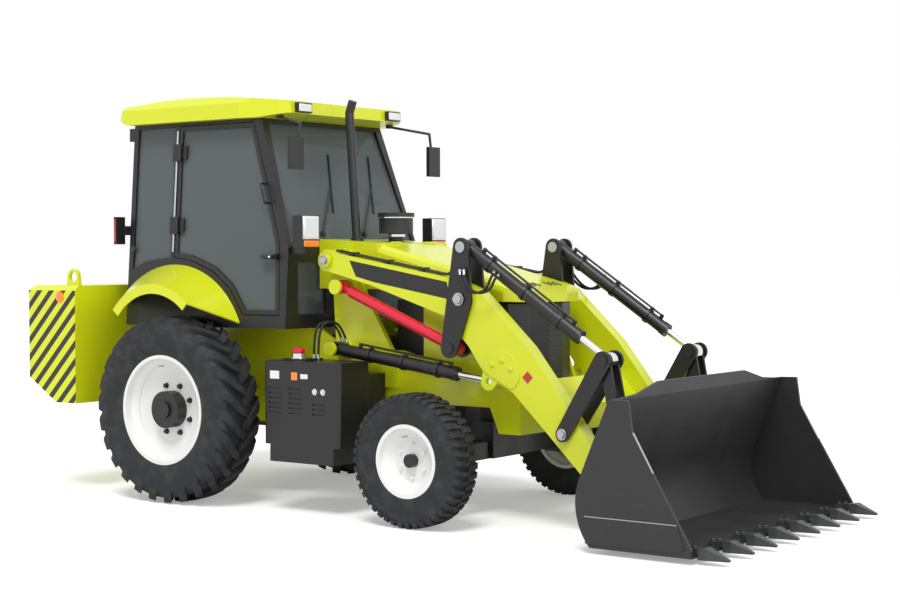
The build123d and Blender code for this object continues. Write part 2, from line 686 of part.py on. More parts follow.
def hood():
    """The tapering one-piece hood lid with its rounded front."""
    side = [
        (HOOD_HINGE_X + RUN, 1885), (HOOD_HINGE_X + RUN, 1560), (1700, 1500), (2760, 1480), (2760, 1530),
        (2560, 1590),
    ]
    solid = prism_y(side, -HOOD_HALF, HOOD_HALF)
    plan = [
        (1400, -HOOD_HALF), (2500, -HOOD_HALF), (2640, -330), (2720, -180), (HOOD_FRONT_X, 0),
        (2720, 180), (2640, 330), (2500, HOOD_HALF), (1400, HOOD_HALF),
    ]
    solid &= prism_z(plan, 1400, 2000)
    shoulders = loft([hood_section(x, top) for x, top in HOOD_CROWN], ruled=True)
    solid &= shoulders
    inner_side = [(1300, 1862), (1300, 1400), (2700, 1400), (2700, 1518), (2550, 1564)]
    inner = prism_y(inner_side, -HOOD_HALF + HOOD_T, HOOD_HALF - HOOD_T)
    inner_plan = [
        (1300, -394), (2490, -394), (2622, -312), (2698, -170), (2720, 0), (2698, 170), (2622, 312),
        (2490, 394), (1300, 394),
    ]
    inner &= prism_z(inner_plan, 1300, 2000)
    lid = solid - inner - hinge_rounds(COWL_SPANS, HOOD_HINGE_R + 1)
    return lid + hinge_rounds(LID_SPANS, HOOD_HINGE_R)


COWL_TOP = [(CAB_FRONT_X + RUN, 1920), (HOOD_HINGE_X - RUN, 1887)]


def hood_cowl():
    """The fixed cowl between the hood and the windscreen, which carries the exhaust and the air intake."""
    outer = prism_y(COWL_TOP + [(COWL_TOP[1][0], 1560), (COWL_TOP[0][0], 1560)], -HOOD_HALF, HOOD_HALF)
    inner = prism_y(
        [(800, 1901), (1500, 1858), (1500, 1500), (800, 1500)], -HOOD_HALF + HOOD_T, HOOD_HALF - HOOD_T,
    )
    cowl = outer - inner - hinge_rounds(LID_SPANS, HOOD_HINGE_R + 1)
    return cowl + hinge_rounds(COWL_SPANS, HOOD_HINGE_R)


def above_cowl(shape):
    """What is left of a piece above the cowl's top, with a fine gap to it."""
    (x0, z0), (x1, z1) = COWL_TOP
    return shape - prism_y([(x0, z0 + RUN), (x1, z1 + RUN), (x1, 1700), (x0, 1700)], -HOOD_HALF, HOOD_HALF)


def exhaust():
    """The upright exhaust pipe with its base flange and bent outlet."""
    foot, bend, tip = (1097, -250, 1860), (1030, -250, 2840), (1062, -250, 2925)
    pipe = rod(foot, bend, 32) + rod((1097, -250, 1860), (1096, -250, 1925), 48)
    return above_cowl(pipe + Pos(*bend) * Sphere(32) + rod(bend, tip, 32))


def pre_cleaner():
    """The engine's air pre-cleaner: stem, bowl and cap."""
    stem = above_cowl(rod((1262, 0, 1860), (1262, 0, 1960), 55))
    bowl = rod((1262, 0, 1960), (1262, 0, 2075), 125)
    cap = rod((1262, 0, 2075), (1262, 0, 2110), 135)
    return stem + bowl + cap


# ---- cab ----
def cab_y(z):
    """The cab side's half width at a height: the sides lean in towards the roof."""
    return CAB_HALF_LOW - (CAB_HALF_LOW - CAB_HALF_TOP) * (z - CAB_LOW_Z) / (CAB_TOP_Z - CAB_LOW_Z)


def cab_solid(inset):
    """The cab's outer body, drawn in from its faces by inset."""
    side = [
        (CAB_REAR_X + inset, CAB_LOW_Z + inset), (CAB_FRONT_X - inset, CAB_LOW_Z + inset),
        (CAB_FRONT_X - inset, CAB_KNEE_Z), (CAB_TOP_FRONT_X - inset, CAB_TOP_Z - inset), (
            CAB_REAR_X + inset, CAB_TOP_Z - inset,
        ),
    ]
    low, high = CAB_LOW_Z, CAB_TOP_Z
    front = [
        (-cab_y(low) + inset, low - 300), (cab_y(low) - inset, low - 300), (cab_y(low) - inset, low),
        (cab_y(high) - inset, high), (-cab_y(high) + inset, high), (-cab_y(low) + inset, low),
    ]
    return prism_y(side, -900, 900) & prism_x(front, -1000, 1200)


def side_slab(outer, inner):
    """A sheet parallel to the cab's left side, between two depths inward from it."""
    low, high = CAB_LOW_Z, CAB_TOP_Z
    return prism_x(
        [
            (cab_y(low) - outer, low), (cab_y(high) - outer, high), (cab_y(high) - inner, high),
            (cab_y(low) - inner, low),
        ],
        -1000, 1200,
    )


DOOR = [
    (-256, CAB_TOP_Z - 30), (492, CAB_TOP_Z - 30), (640, 2346), (790, 1885), (812, 1375), (470, 1375),
    (330, 1560), (150, 1690), (-90, 1772), (-256, 1790),
]
DOOR_PANE = [
    (-222, CAB_TOP_Z - 64), (466, CAB_TOP_Z - 64), (606, 2340), (756, 1880), (778, 1409), (488, 1409),
    (352, 1590), (168, 1722), (-80, 1806), (-222, 1822),
]
QUARTER = [(-700, CAB_TOP_Z - 30), (-300, CAB_TOP_Z - 30), (-300, 1790), (-560, 1760), (-700, 1700)]
SCREEN = [
    (-CAB_HALF_TOP + 70, CAB_TOP_Z - 30), (CAB_HALF_TOP - 70, CAB_TOP_Z - 30), (CAB_HALF_LOW - 80, 1900),
    (-CAB_HALF_LOW + 80, 1900),
]
REAR_WINDOW = [
    (-CAB_HALF_TOP + 60, CAB_TOP_Z - 50), (CAB_HALF_TOP - 60, CAB_TOP_Z - 50), (CAB_HALF_LOW - 90, 1640), (
        -CAB_HALF_LOW + 90, 1640,
    ),
]


def inner_edge(outline):
    """A window outline drawn in by the fitting gap."""
    wire = Polyline(*outline, close=True)
    return [(v.X, v.Y) for v in offset(wire, -RUN, kind=Kind.INTERSECTION).vertices()]


def hinge_point(z):
    """The point at height z on the left door's leaning hinge line."""
    return (HINGE_X, cab_y(z) + HINGE_OUT, z)


def hinge_leaf(z):
    """The cab's half of a door hinge: a leaf on the post with a socket above and below the door's half."""
    reach = HINGE_H + HINGE_SOCKET
    leaf = side_slab(-HINGE_LEAF, 1) & block(
        HINGE_X - 85, DOOR[0][0] - DOOR_GAP, 500, 1000, z - reach, z + reach,
    )
    leaf += side_slab(-HINGE_LEAF, -RUN) & block(
        HINGE_X - 60, HINGE_X - HINGE_R - 3, 500, 1000, z - reach, z + reach,
    )
    for low, high in ((-reach, -HINGE_H - RUN), (HINGE_H + RUN, reach)):
        leaf += rod(hinge_point(z + low), hinge_point(z + high), HINGE_R)
        cheek = block(
            HINGE_X - 60, HINGE_X, 500, 1000, z + low + 1.2 * (low > 0), z + high - 1.2 * (high < 0),
        )
        leaf += side_slab(-HINGE_LEAF - 6, -RUN) & cheek
    return leaf


def cab_frame():
    """The cab's welded frame: posts, rails and lower panels round its window and door openings."""
    frame = cab_solid(0) - cab_solid(CAB_WALL)
    grown = [
        (-262, CAB_TOP_Z - 24), (496, CAB_TOP_Z - 24), (646, 2348), (796, 1886), (818, 1369),
        (466, 1369), (325, 1555), (146, 1684), (-92, 1766), (-262, 1784),
    ]
    frame -= prism_y(grown, -1000, 1000)
    frame -= prism_y(QUARTER, -1000, 1000)
    frame -= prism_x(SCREEN, 400, 1000)
    for sign in (-1, 1):
        low, high = sorted((sign * 350, sign * 660))
        frame -= block(800, 1000, low, high, 1377, 1756)
    frame -= prism_x(REAR_WINDOW, -1000, -600)
    for z in HINGE_Z:
        frame += hinge_leaf(z) + right(hinge_leaf(z))
    return frame


def cab_panes():
    """The fixed tinted panes: windscreen, quarter windows, rear window and the two low front windows."""
    seat = CAB_WALL / 2
    ring = cab_solid(seat - GLASS_T / 2) - cab_solid(seat + GLASS_T / 2)
    screen = inner_edge(SCREEN)
    panes = list((ring & prism_x(screen, 400, 1000)).solids())
    rear = inner_edge(REAR_WINDOW)
    panes += (ring & prism_x(rear, -1000, -600)).solids()
    for sign in (-1, 1):
        low, high = sorted((sign * 500, sign * 1000))
        panes += (ring & prism_y(inner_edge(QUARTER), low, high)).solids()
        low, high = sorted((sign * (350 + RUN), sign * (660 - RUN)))
        panes += (ring & block(800, 1000, low, high, 1377 + RUN, 1756 - RUN)).solids()
    return panes


def door():
    """The left door: a thin frame with its two hinge knuckles and its handle."""
    frame = (side_slab(0, DOOR_T) & prism_y(DOOR, 500, 1000)) - prism_y(DOOR_PANE, 400, 1100)
    for z in HINGE_Z:
        frame += side_slab(-HINGE_LEAF, 1) & block(
            HINGE_X, HINGE_X + 60, 500, 1000, z - HINGE_H + 1.2, z + HINGE_H - 1.2,
        )
        frame += rod(hinge_point(z - HINGE_H), hinge_point(z + HINGE_H), HINGE_R)
    frame += side_slab(-30, -16) & block(650, 790, 500, 1000, 1776, 1806)
    frame += side_slab(-30, 1) & block(768, 790, 500, 1000, 1770, 1812)
    return frame


def door_pane():
    """The left door's tinted pane."""
    mid = DOOR_T / 2
    return side_slab(mid - GLASS_T / 2, mid + GLASS_T / 2) & prism_y(DOOR_PANE, 500, 1000)


def roof_under(x):
    """The height of the roof's underside over the windscreen."""
    (x0, z0), (x1, z1) = ROOF_UNDER
    return z0 + (x - x0) * (z1 - z0) / (x1 - x0)


def cab_roof():
    """The moulded roof, crowned along its length and wider than the cab."""
    side = [
        (-860, CAB_TOP_Z + 46), (-783, CAB_TOP_Z + 134), (-225, CAB_TOP_Z + 190), (246, CAB_TOP_Z + 167), (
            801, CAB_TOP_Z + 118,
        ),
        ROOF_UNDER[1], ROOF_UNDER[0], (-740, ROOF_UNDER[0][1]),
    ]
    across = [
        (-ROOF_HALF, CAB_TOP_Z - 10), (-ROOF_HALF, CAB_TOP_Z + 110), (-ROOF_HALF + 50, CAB_TOP_Z + 165), (
            -ROOF_HALF + 150, CAB_TOP_Z + 200,
        ),
        (ROOF_HALF - 150, CAB_TOP_Z + 200), (ROOF_HALF - 50, CAB_TOP_Z + 165), (ROOF_HALF, CAB_TOP_Z + 110), (
            ROOF_HALF, CAB_TOP_Z - 10,
        ),
    ]
    roof = prism_y(side, -ROOF_HALF, ROOF_HALF) & prism_x(across, -900, 900)
    plan = [
        (-860, -690), (-845, -745), (-783, -ROOF_HALF), (430, -ROOF_HALF), (740, -700), (810, -640),
        (810, 640), (740, 700), (430, ROOF_HALF), (-783, ROOF_HALF), (-845, 745), (-860, 690),
    ]
    return roof & prism_z(plan, CAB_TOP_Z - 100, CAB_TOP_Z + 300)


def cab_floor():
    """The cab's floor pan and seat stand."""
    low = CAB_LOW_Z + CAB_WALL + RUN
    pan = block(CAB_REAR_X + CAB_WALL + RUN, CAB_FRONT_X - CAB_WALL - RUN, -748, 748, low, 1345)
    return pan + block(-350, 150, -250, 250, 1345, 1470)


FENDER_T = 12
FENDER_LIP = 70
FENDER_INNER_Y = 740
FENDER_INNER = ((-855, 1471), (-268, 1745), (466, 1288))
FENDER_OUTER = ((-499, 1402), (-87, 1597), (266, 1464))


def arched_strip(arch, thickness, y):
    """A face across the fender at y: an arch through three (x, z) points with its copy below it."""
    (x0, z0), (x1, z1), (x2, z2) = arch
    centre, radius = circle_through(arch)
    below = [along(point, centre, thickness) for point in arch]
    over = ThreePointArc((x0, z0), (x1, z1), (x2, z2))
    front = Line((x2, z2), below[2])
    under = ThreePointArc(below[2], below[1], below[0])
    rear = Line(below[0], (x0, z0))
    return side_plane(y) * make_face([over, front, under, rear])


def fenders():
    """The rear fenders: lofted sheets from the cab's side out to a side lip over each tyre."""
    inner = arched_strip(FENDER_INNER, FENDER_T, FENDER_INNER_Y)
    outer = arched_strip(FENDER_OUTER, FENDER_T, FENDER_OUT)
    sheet = loft([inner, outer], ruled=True)
    lip = arched_strip(FENDER_OUTER, FENDER_LIP, FENDER_OUT)
    sheet += extrude(lip, amount=FENDER_T)
    beside = [(0, 1200), (cab_y(1200) + RUN, 1200), (cab_y(1900) + RUN, 1900), (0, 1900)]
    return pair(sheet - prism_x(beside, -1000, 1000))


def seat():
    """The driver's seat: cushion and back."""
    return block(-330, 150, -240, 240, 1470.3, 1580) + prism_y(
        [(-330, 1580), (-230, 1580), (-310, 2120), (-400, 2120)], -230, 230,
    )


def steering_wheel():
    """The steering column and wheel."""
    column = rod((560, 0, 1360), (420, 0, 1820), 35) + block(500, 640, -60, 60, 1345.3, 1400)
    wheel = Plane(origin=(412, 0, 1850), z_dir=(-180, 0, 670)) * Torus(190, 14)
    spokes = Plane(origin=(412, 0, 1850), z_dir=(-180, 0, 670)) * Box(30, 380, 14)
    hub = rod((420, 0, 1820), (410, 0, 1858), 40)
    return column + wheel + spokes + hub


# ---- tanks, lamps and mirrors ----
TANK_CORNER = 30
TANK_SLOT_L = 120
TANK_SLOT_H = 12
TANK_SLOT_PITCH = 34
# Louvres in the tank box's side: start along it, height of the lowest, how many above one another.
TANK_SLOTS = ((900, 700, 6), (1090, 700, 6), (1300, 700, 3))


def tank_box():
    """The right-hand battery and oil tank box with its filler and the step below it."""
    body = block(TANK_REAR_X, TANK_FRONT_X, -TANK_OUT, -TANK_IN, TANK_LOW_Z, TANK_TOP_Z)
    body = fillet(body.edges().filter_by(Axis.Z), TANK_CORNER)
    for x, low, count in TANK_SLOTS:
        for i in range(count):
            z = low + i * TANK_SLOT_PITCH
            body -= block(x, x + TANK_SLOT_L, -TANK_OUT - 1, -TANK_OUT + 8, z, z + TANK_SLOT_H)
    body += block(
        TANK_REAR_X + 250, TANK_FRONT_X - TANK_CORNER, -TANK_IN - 10, -TOWER_OUT - RUN, TANK_LOW_Z + 60,
        970,
    )
    body += block(TANK_REAR_X + 60, TANK_FRONT_X - 60, -TANK_OUT, -700, 360, TANK_LOW_Z)
    body += block(960, 1180, -930, -740, TANK_TOP_Z, TANK_TOP_Z + 14)
    return body + rod((1050, -850, TANK_TOP_Z), (1050, -850, TANK_TOP_Z + 60), 45)


def fuel_tank():
    """The left-hand fuel tank with its filler cap."""
    body = block(TANK_REAR_X, TANK_FRONT_X, TANK_IN, TANK_OUT, TANK_LOW_Z, TANK_TOP_Z)
    body += block(TANK_REAR_X + 250, TANK_FRONT_X, TOWER_OUT + RUN, TANK_IN, TANK_LOW_Z + 60, 970)
    body += block(TANK_REAR_X + 60, TANK_FRONT_X - 60, 700, TANK_OUT, 360, TANK_LOW_Z)
    return body + rod((1050, 850, TANK_TOP_Z), (1050, 850, TANK_TOP_Z + 50), 45)


def headlamps():
    """The two lamp boxes on brackets beside the windscreen's foot."""
    lamp = block(1000, 1090, 667, 847, 1856, 2084) + block(CAB_FRONT_X + RUN, 1010, 700, 730, 1815, 1870)
    return pair(lamp)


def work_lamps():
    """The lamps in the roof's front edge and under its rear eave."""
    lamps = []
    for sign in (-1, 1):
        low, high = sorted((sign * 445, sign * 600))
        lamps += block(810.3, 840, low, high, CAB_TOP_Z + 35, CAB_TOP_Z + 105).solids()
        low, high = sorted((sign * 480, sign * 600))
        lamps += block(-900, -800, low, high, CAB_TOP_Z - 110, CAB_TOP_Z - 10).solids() + block(
            -800, CAB_REAR_X - RUN, low + 40, high - 40, CAB_TOP_Z - 80, CAB_TOP_Z - 50,
        ).solids()
    return lamps


def tail_lamps():
    """The upright lamp clusters on the rear posts."""
    return pair(block(-820, -790, 760, 850, 1890, 2100) + block(-790, CAB_REAR_X - RUN, 740, 790, 1960, 2030))


def mirrors():
    """The rear-view mirrors on their bent arms from the front roof corners."""
    foot = prism_y(
        [
            (680, CAB_TOP_Z - 10), (720, CAB_TOP_Z - 10), (720, roof_under(720) - RUN),
            (680, roof_under(680) - RUN),
        ],
        620, 660,
    )
    arm = foot + rod((700, 640, CAB_TOP_Z + 2), (1000, 760, CAB_TOP_Z - 60), 10)
    arm += Pos(1000, 760, CAB_TOP_Z - 60) * Sphere(10)
    arm += rod((1000, 760, CAB_TOP_Z - 60), (1000, 800, CAB_TOP_Z - 280), 10)
    return pair(arm + block(985, 1015, 740, 880, CAB_TOP_Z - 390, CAB_TOP_Z - 160))


# ---- assembly ----
NODES = {
    "chassis_frame": chassis_frame,
    "counterweight": counterweight,
    "front_axle": front_axle,
    "rear_axle": rear_axle,
    "engine_block": engine_block,
    "grille": grille,
    "hood_cowl": hood_cowl,
    "exhaust": exhaust,
    "pre_cleaner": pre_cleaner,
    "cab_frame": cab_frame,
    "cab_panes": cab_panes,
    "cab_roof": cab_roof,
    "cab_floor": cab_floor,
    "fenders": fenders,
    "seat": seat,
    "steering_wheel": steering_wheel,
    "tank_box": tank_box,
    "fuel_tank": fuel_tank,
    "headlamps": headlamps,
    "work_lamps": work_lamps,
    "tail_lamps": tail_lamps,
    "mirrors": mirrors,
    "hood": hood,
    "door_left": door,
    "door_left_pane": door_pane,
    "door_right": lambda: right(door()),
    "door_right_pane": lambda: right(door_pane()),
    "knuckle_left": knuckle,
    "knuckle_right": lambda: right(knuckle()),
    "track_rod": track_rod,
    "loader_arms": loader_arms,
    "cranks": cranks,
    "crank_pins": crank_pins,
    "tie_rods": tie_rods,
    "lift_barrels": lift_barrels,
    "lift_rods": lift_rods,
    "tilt_barrels": tilt_barrels,
    "tilt_rods": tilt_rods,
    "lever_pins": lever_pins,
    "levers": levers,
    "link_pins": link_pins,
    "links": links,
    "bucket_pins": bucket_pins,
    "bucket": bucket,
    "bucket_teeth": bucket_teeth,
}


def wheel_nodes():
    """The four wheels, each as a tyre, a rim and a hub."""
    place_rear = Pos(REAR_AXLE[0], REAR_Y, REAR_AXLE[1])
    place_front = Pos(FRONT_AXLE[0], FRONT_Y, FRONT_AXLE[1])
    rear_tyre = place_rear * tyre(REAR_TYRE_R, REAR_TYRE_W, REAR_RIM_R, REAR_LUG_H, *REAR_BARS)
    rear_rim = rim(REAR_RIM_R, REAR_TYRE_W, REAR_DISC_IN, REAR_BOLT_R, REAR_Y, REAR_AXLE)
    front_tyre = place_front * tyre(FRONT_TYRE_R, FRONT_TYRE_W, FRONT_RIM_R, FRONT_LUG_H, *FRONT_BARS)
    front_rim = rim(FRONT_RIM_R, FRONT_TYRE_W, FRONT_DISC_IN, FRONT_BOLT_R, FRONT_Y, FRONT_AXLE)
    sets = {"rear": (rear_tyre, rear_rim, rear_hub()), "front": (front_tyre, front_rim, front_hub())}
    nodes = {}
    for place, parts in sets.items():
        for name, shape in zip(("tyre", "rim", "hub"), parts):
            nodes[f"{place}_left_{name}"] = shape
            nodes[f"{place}_right_{name}"] = right(shape)
    return nodes


def main():
    os.makedirs("parts", exist_ok=True)
    shapes = {name: make() for name, make in NODES.items()}
    shapes.update(wheel_nodes())
    for name, shape in shapes.items():
        solids = shape if isinstance(shape, list) else shape.solids()
        placed = [Pos(SHIFT_X, 0, 0) * solid for solid in solids]
        export_step(Compound(placed), f"parts/{name}.step")


main()
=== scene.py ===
"""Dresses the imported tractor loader: finishes for every CAD node, and the pieces that only the looks need.

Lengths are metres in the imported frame: +X forward, +Y to the left, +Z up, the ground at z = 0.
"""

import logging
from dataclasses import dataclass
from enum import Enum
from typing import Sequence

import bmesh
import bpy
import numpy as np
from mathutils import Matrix, Vector


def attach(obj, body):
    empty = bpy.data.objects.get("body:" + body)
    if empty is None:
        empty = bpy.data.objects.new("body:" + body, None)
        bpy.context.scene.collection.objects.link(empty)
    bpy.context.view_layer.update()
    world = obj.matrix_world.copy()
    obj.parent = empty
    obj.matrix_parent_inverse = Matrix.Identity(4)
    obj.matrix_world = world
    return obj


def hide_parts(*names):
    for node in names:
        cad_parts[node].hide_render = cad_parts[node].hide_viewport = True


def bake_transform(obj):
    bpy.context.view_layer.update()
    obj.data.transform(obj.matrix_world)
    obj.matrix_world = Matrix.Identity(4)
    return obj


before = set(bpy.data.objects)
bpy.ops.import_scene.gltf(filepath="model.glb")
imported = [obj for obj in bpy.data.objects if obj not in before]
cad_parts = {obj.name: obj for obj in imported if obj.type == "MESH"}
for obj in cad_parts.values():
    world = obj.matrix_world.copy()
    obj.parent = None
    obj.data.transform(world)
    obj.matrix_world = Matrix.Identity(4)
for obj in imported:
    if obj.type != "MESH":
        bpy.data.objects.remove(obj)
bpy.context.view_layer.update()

log = logging.getLogger("loader")
logging.basicConfig(level=logging.INFO, format="%(message)s")

Array = np.ndarray
Point = tuple[float, float, float]
Pair = tuple[float, float]
Socket = bpy.types.NodeSocket
WHITE = "#FFFFFF"


class Side(Enum):
    """A side of the machine. Its value is the sign that y has there."""

    LEFT = 1.0
    RIGHT = -1.0

    @property
    def label(self) -> str:
        """The side's word in the names of nodes, bodies and pieces."""
        return self.name.lower()


# ---- colours and node trees ----


def linear(code: str) -> tuple[float, float, float, float]:
    """Turns an sRGB hex colour into the linear values that shaders read.

    Args:
        code: the colour, as "#rrggbb".

    Returns:
        Linear red, green and blue, with an alpha of 1.
    """
    srgb = np.array([int(code[i : i + 2], 16) / 255 for i in (1, 3, 5)])
    value = np.where(srgb <= 0.04045, srgb / 12.92, ((srgb + 0.055) / 1.055) ** 2.4)
    return (*(float(v) for v in value), 1.0)


def per_metre(millimetres: float) -> float:
    """The texture scale at which one cell of a pattern is that many millimetres wide."""
    return 1000 / millimetres


class Tree:
    """A material's node tree while it is being wired."""

    def __init__(self, name: str) -> None:
        """Starts an empty material of that name with its output node."""
        self.material = bpy.data.materials.new(name)
        self.material.use_nodes = True
        self.nodes = self.material.node_tree.nodes
        self.nodes.clear()
        self.output = self.nodes.new("ShaderNodeOutputMaterial")
        self.object = self.add("ShaderNodeTexCoord").outputs["Object"]

    def add(self, kind: str, links: dict | None = None, **settings: object) -> bpy.types.Node:
        """Adds a node with its settings and links.

        Args:
            kind: the node's type name.
            links: sockets of other nodes, by the name or number of this node's input.
            settings: the node's own options, and values of its inputs with an underscore for a space.

        Returns:
            The new node.
        """
        node = self.nodes.new(kind)
        for key, value in settings.items():
            if hasattr(node, key):
                setattr(node, key, value)
        for key, value in settings.items():
            if not hasattr(node, key):
                node.inputs[key.replace("_", " ")].default_value = value
        for key, source in (links or {}).items():
            self.material.node_tree.links.new(source, node.inputs[key])
        return node

    def math(self, operation: str, first: Socket, second: Socket | float | None = None) -> Socket:
        """The result of a Math node, whose second input may be a socket, a number or nothing."""
        links = {0: first} | ({1: second} if isinstance(second, Socket) else {})
        node = self.add("ShaderNodeMath", links, operation=operation)
        if isinstance(second, (int, float)):
            node.inputs[1].default_value = second
        return node.outputs[0]

    def principled(self, links: dict, **settings: object) -> bpy.types.Material:
        """Finishes the material with a Principled shader of those links and settings."""
        return self.finish(self.add("ShaderNodeBsdfPrincipled", links, **settings))

    def noise(self, size_mm: float, detail: float = 3.0) -> Socket:
        """A cloudy pattern whose cells are about size_mm wide, from 0 to 1."""
        links = {"Vector": self.object}
        return self.add("ShaderNodeTexNoise", links, Scale=per_metre(size_mm), Detail=detail).outputs["Fac"]

    def ramp(self, source: Socket, low: float, high: float, to: Pair) -> Socket:
        """A number that goes from to[0] to to[1] while source goes from low to high."""
        settings = {"From_Min": low, "From_Max": high, "To_Min": to[0], "To_Max": to[1]}
        return self.add("ShaderNodeMapRange", {"Value": source}, **settings).outputs[0]

    def blend(self, share: Socket, first: object, second: object) -> Socket:
        """Mixes two colours, each a hex code or a socket, by share.

        Args:
            share: 0 for the first colour, 1 for the second.
            first: a hex code or a colour socket.
            second: a hex code or a colour socket.

        Returns:
            The mixed colour's socket.
        """
        node = self.add("ShaderNodeMix", {"Factor": share}, data_type="RGBA")
        for number, colour in ((6, first), (7, second)):
            if isinstance(colour, str):
                node.inputs[number].default_value = linear(colour)
            else:
                self.material.node_tree.links.new(colour, node.inputs[number])
        return node.outputs[2]

    def bump(self, height: Socket, depth_mm: float, strength: float = 1.0) -> Socket:
        """A normal that rises by depth_mm where height goes from 0 to 1."""
        node = self.add("ShaderNodeBump", {"Height": height}, Strength=strength, Distance=depth_mm / 1000)
        return node.outputs[0]

    def finish(self, shader: bpy.types.Node) -> bpy.types.Material:
        """Wires the shader to the material's surface and returns the material."""
        self.material.node_tree.links.new(shader.outputs[0], self.output.inputs["Surface"])
        return self.material


# ---- finishes ----


@dataclass(frozen=True)
class Enamel:
    """Sprayed and baked enamel: glossy, with a faint orange peel and a slightly uneven tone.

    The peel is really about 2 mm wide, and is drawn wider so that it shows.
    """

    name: str
    colour: str
    shade: str
    roughness: float = 0.3
    coat: float = 0.3
    peel_mm: float = 14.0
    peel_depth_mm: float = 0.12

    def make(self) -> bpy.types.Material:
        """Builds the enamel's material."""
        tree = Tree(self.name)
        mottle = tree.noise(500.0, 5.0)
        peel = tree.bump(tree.noise(self.peel_mm, 2.0), self.peel_depth_mm)
        gloss = (self.roughness - 0.04, self.roughness + 0.06)
        links = {
            "Base Color": tree.blend(mottle, self.shade, self.colour),
            "Roughness": tree.ramp(tree.noise(160.0), 0.3, 0.7, gloss),
            "Normal": peel,
        }
        return tree.principled(links, Coat_Weight=self.coat, Coat_Roughness=0.1, IOR=1.5)


@dataclass(frozen=True)
class HazardEnamel:
    """Yellow-green enamel, with black stripes sprayed at 45 degrees on the faces that look sideways."""

    name: str
    colour: str
    stripe: str
    pitch_mm: float = 133.0
    black_share: float = 0.46
    side_y: float = 1.119

    def make(self) -> bpy.types.Material:
        """Builds the striped material: a saw wave of (z - x) picks the stripe on the two side faces only."""
        tree = Tree(self.name)
        axes = tree.add("ShaderNodeSeparateXYZ", {"Vector": tree.object})
        across = tree.math("SUBTRACT", axes.outputs["Z"], axes.outputs["X"])
        wave = tree.math("FRACT", tree.math("DIVIDE", across, self.pitch_mm / 1000))
        black = tree.math("LESS_THAN", wave, self.black_share)
        outer = tree.math("GREATER_THAN", tree.math("ABSOLUTE", axes.outputs["Y"]), self.side_y)
        links = {
            "Base Color": tree.blend(tree.math("MULTIPLY", black, outer), self.colour, self.stripe),
            "Normal": tree.bump(tree.noise(14.0, 2.0), 0.12),
        }
        return tree.principled(links, Roughness=0.32, Coat_Weight=0.25, Coat_Roughness=0.1)


@dataclass(frozen=True)
class Rubber:
    """Carbon-black rubber: matte, with a fine moulding grain and pale dust in random clouds."""

    name: str
    colour: str
    dust: str
    roughness: float = 0.72
    grain_mm: float = 6.0

    def make(self) -> bpy.types.Material:
        """Builds the rubber's material."""
        tree = Tree(self.name)
        cloud = tree.ramp(tree.noise(90.0, 6.0), 0.45, 0.75, (0.0, 0.55))
        links = {
            "Base Color": tree.blend(cloud, self.colour, self.dust),
            "Normal": tree.bump(tree.noise(self.grain_mm, 3.0), 0.25),
        }
        return tree.principled(links, Roughness=self.roughness, Specular_IOR_Level=0.35)


@dataclass(frozen=True)
class Metal:
    """Bare or plated steel: reflective, drawn fine or ground, with faint smears."""

    name: str
    colour: str
    roughness: float
    grain_mm: float = 3.0
    grain_depth_mm: float = 0.03

    def make(self) -> bpy.types.Material:
        """Builds the metal's material."""
        tree = Tree(self.name)
        smear = tree.ramp(tree.noise(60.0, 4.0), 0.3, 0.7, (self.roughness * 0.8, self.roughness * 1.3))
        grain = tree.bump(tree.noise(self.grain_mm, 3.0), self.grain_depth_mm)
        links = {"Roughness": smear, "Normal": grain}
        return tree.principled(links, Base_Color=linear(self.colour), Metallic=1.0)


@dataclass(frozen=True)
class WornPaint:
    """Black paint on mild steel that has begun to scuff: grey scratches and a brighter tone in patches."""

    name: str
    colour: str
    bare: str
    roughness: float = 0.42
    scratch_share: float = 0.35

    def make(self) -> bpy.types.Material:
        """Builds the worn paint: long thin noise for scratches, broad noise for scuffed patches."""
        tree = Tree(self.name)
        stretch = {"Scale": (3.0, 60.0, 60.0), "Rotation": (0.2, 0.5, 0.3)}
        long = tree.add("ShaderNodeMapping", {"Vector": tree.object}, **stretch)
        lines = tree.add("ShaderNodeTexNoise", {"Vector": long.outputs[0]}, Scale=4.0, Detail=6.0)
        scratch = tree.ramp(lines.outputs["Fac"], 0.62, 0.72, (0.0, self.scratch_share))
        patch = tree.ramp(tree.noise(260.0, 5.0), 0.4, 0.75, (0.0, 1.0))
        links = {
            "Base Color": tree.blend(tree.math("MULTIPLY", scratch, patch), self.colour, self.bare),
            "Roughness": tree.ramp(patch, 0.0, 1.0, (self.roughness, self.roughness + 0.12)),
            "Normal": tree.bump(tree.noise(10.0, 4.0), 0.18),
        }
        return tree.principled(links, Specular_IOR_Level=0.5)


@dataclass(frozen=True)
class Moulding:
    """Injection-moulded plastic with an etched grain, satin to the eye."""

    name: str
    colour: str
    faded: str = "#5A5C5E"
    roughness: float = 0.5
    grain_mm: float = 4.0

    def make(self) -> bpy.types.Material:
        """Builds the plastic's material."""
        tree = Tree(self.name)
        fade = tree.noise(200.0, 3.0)
        links = {
            "Base Color": tree.blend(tree.ramp(fade, 0.3, 0.8, (0.0, 0.25)), self.colour, self.faded),
            "Normal": tree.bump(tree.noise(self.grain_mm, 2.0), 0.1),
        }
        return tree.principled(links, Roughness=self.roughness, IOR=1.46)


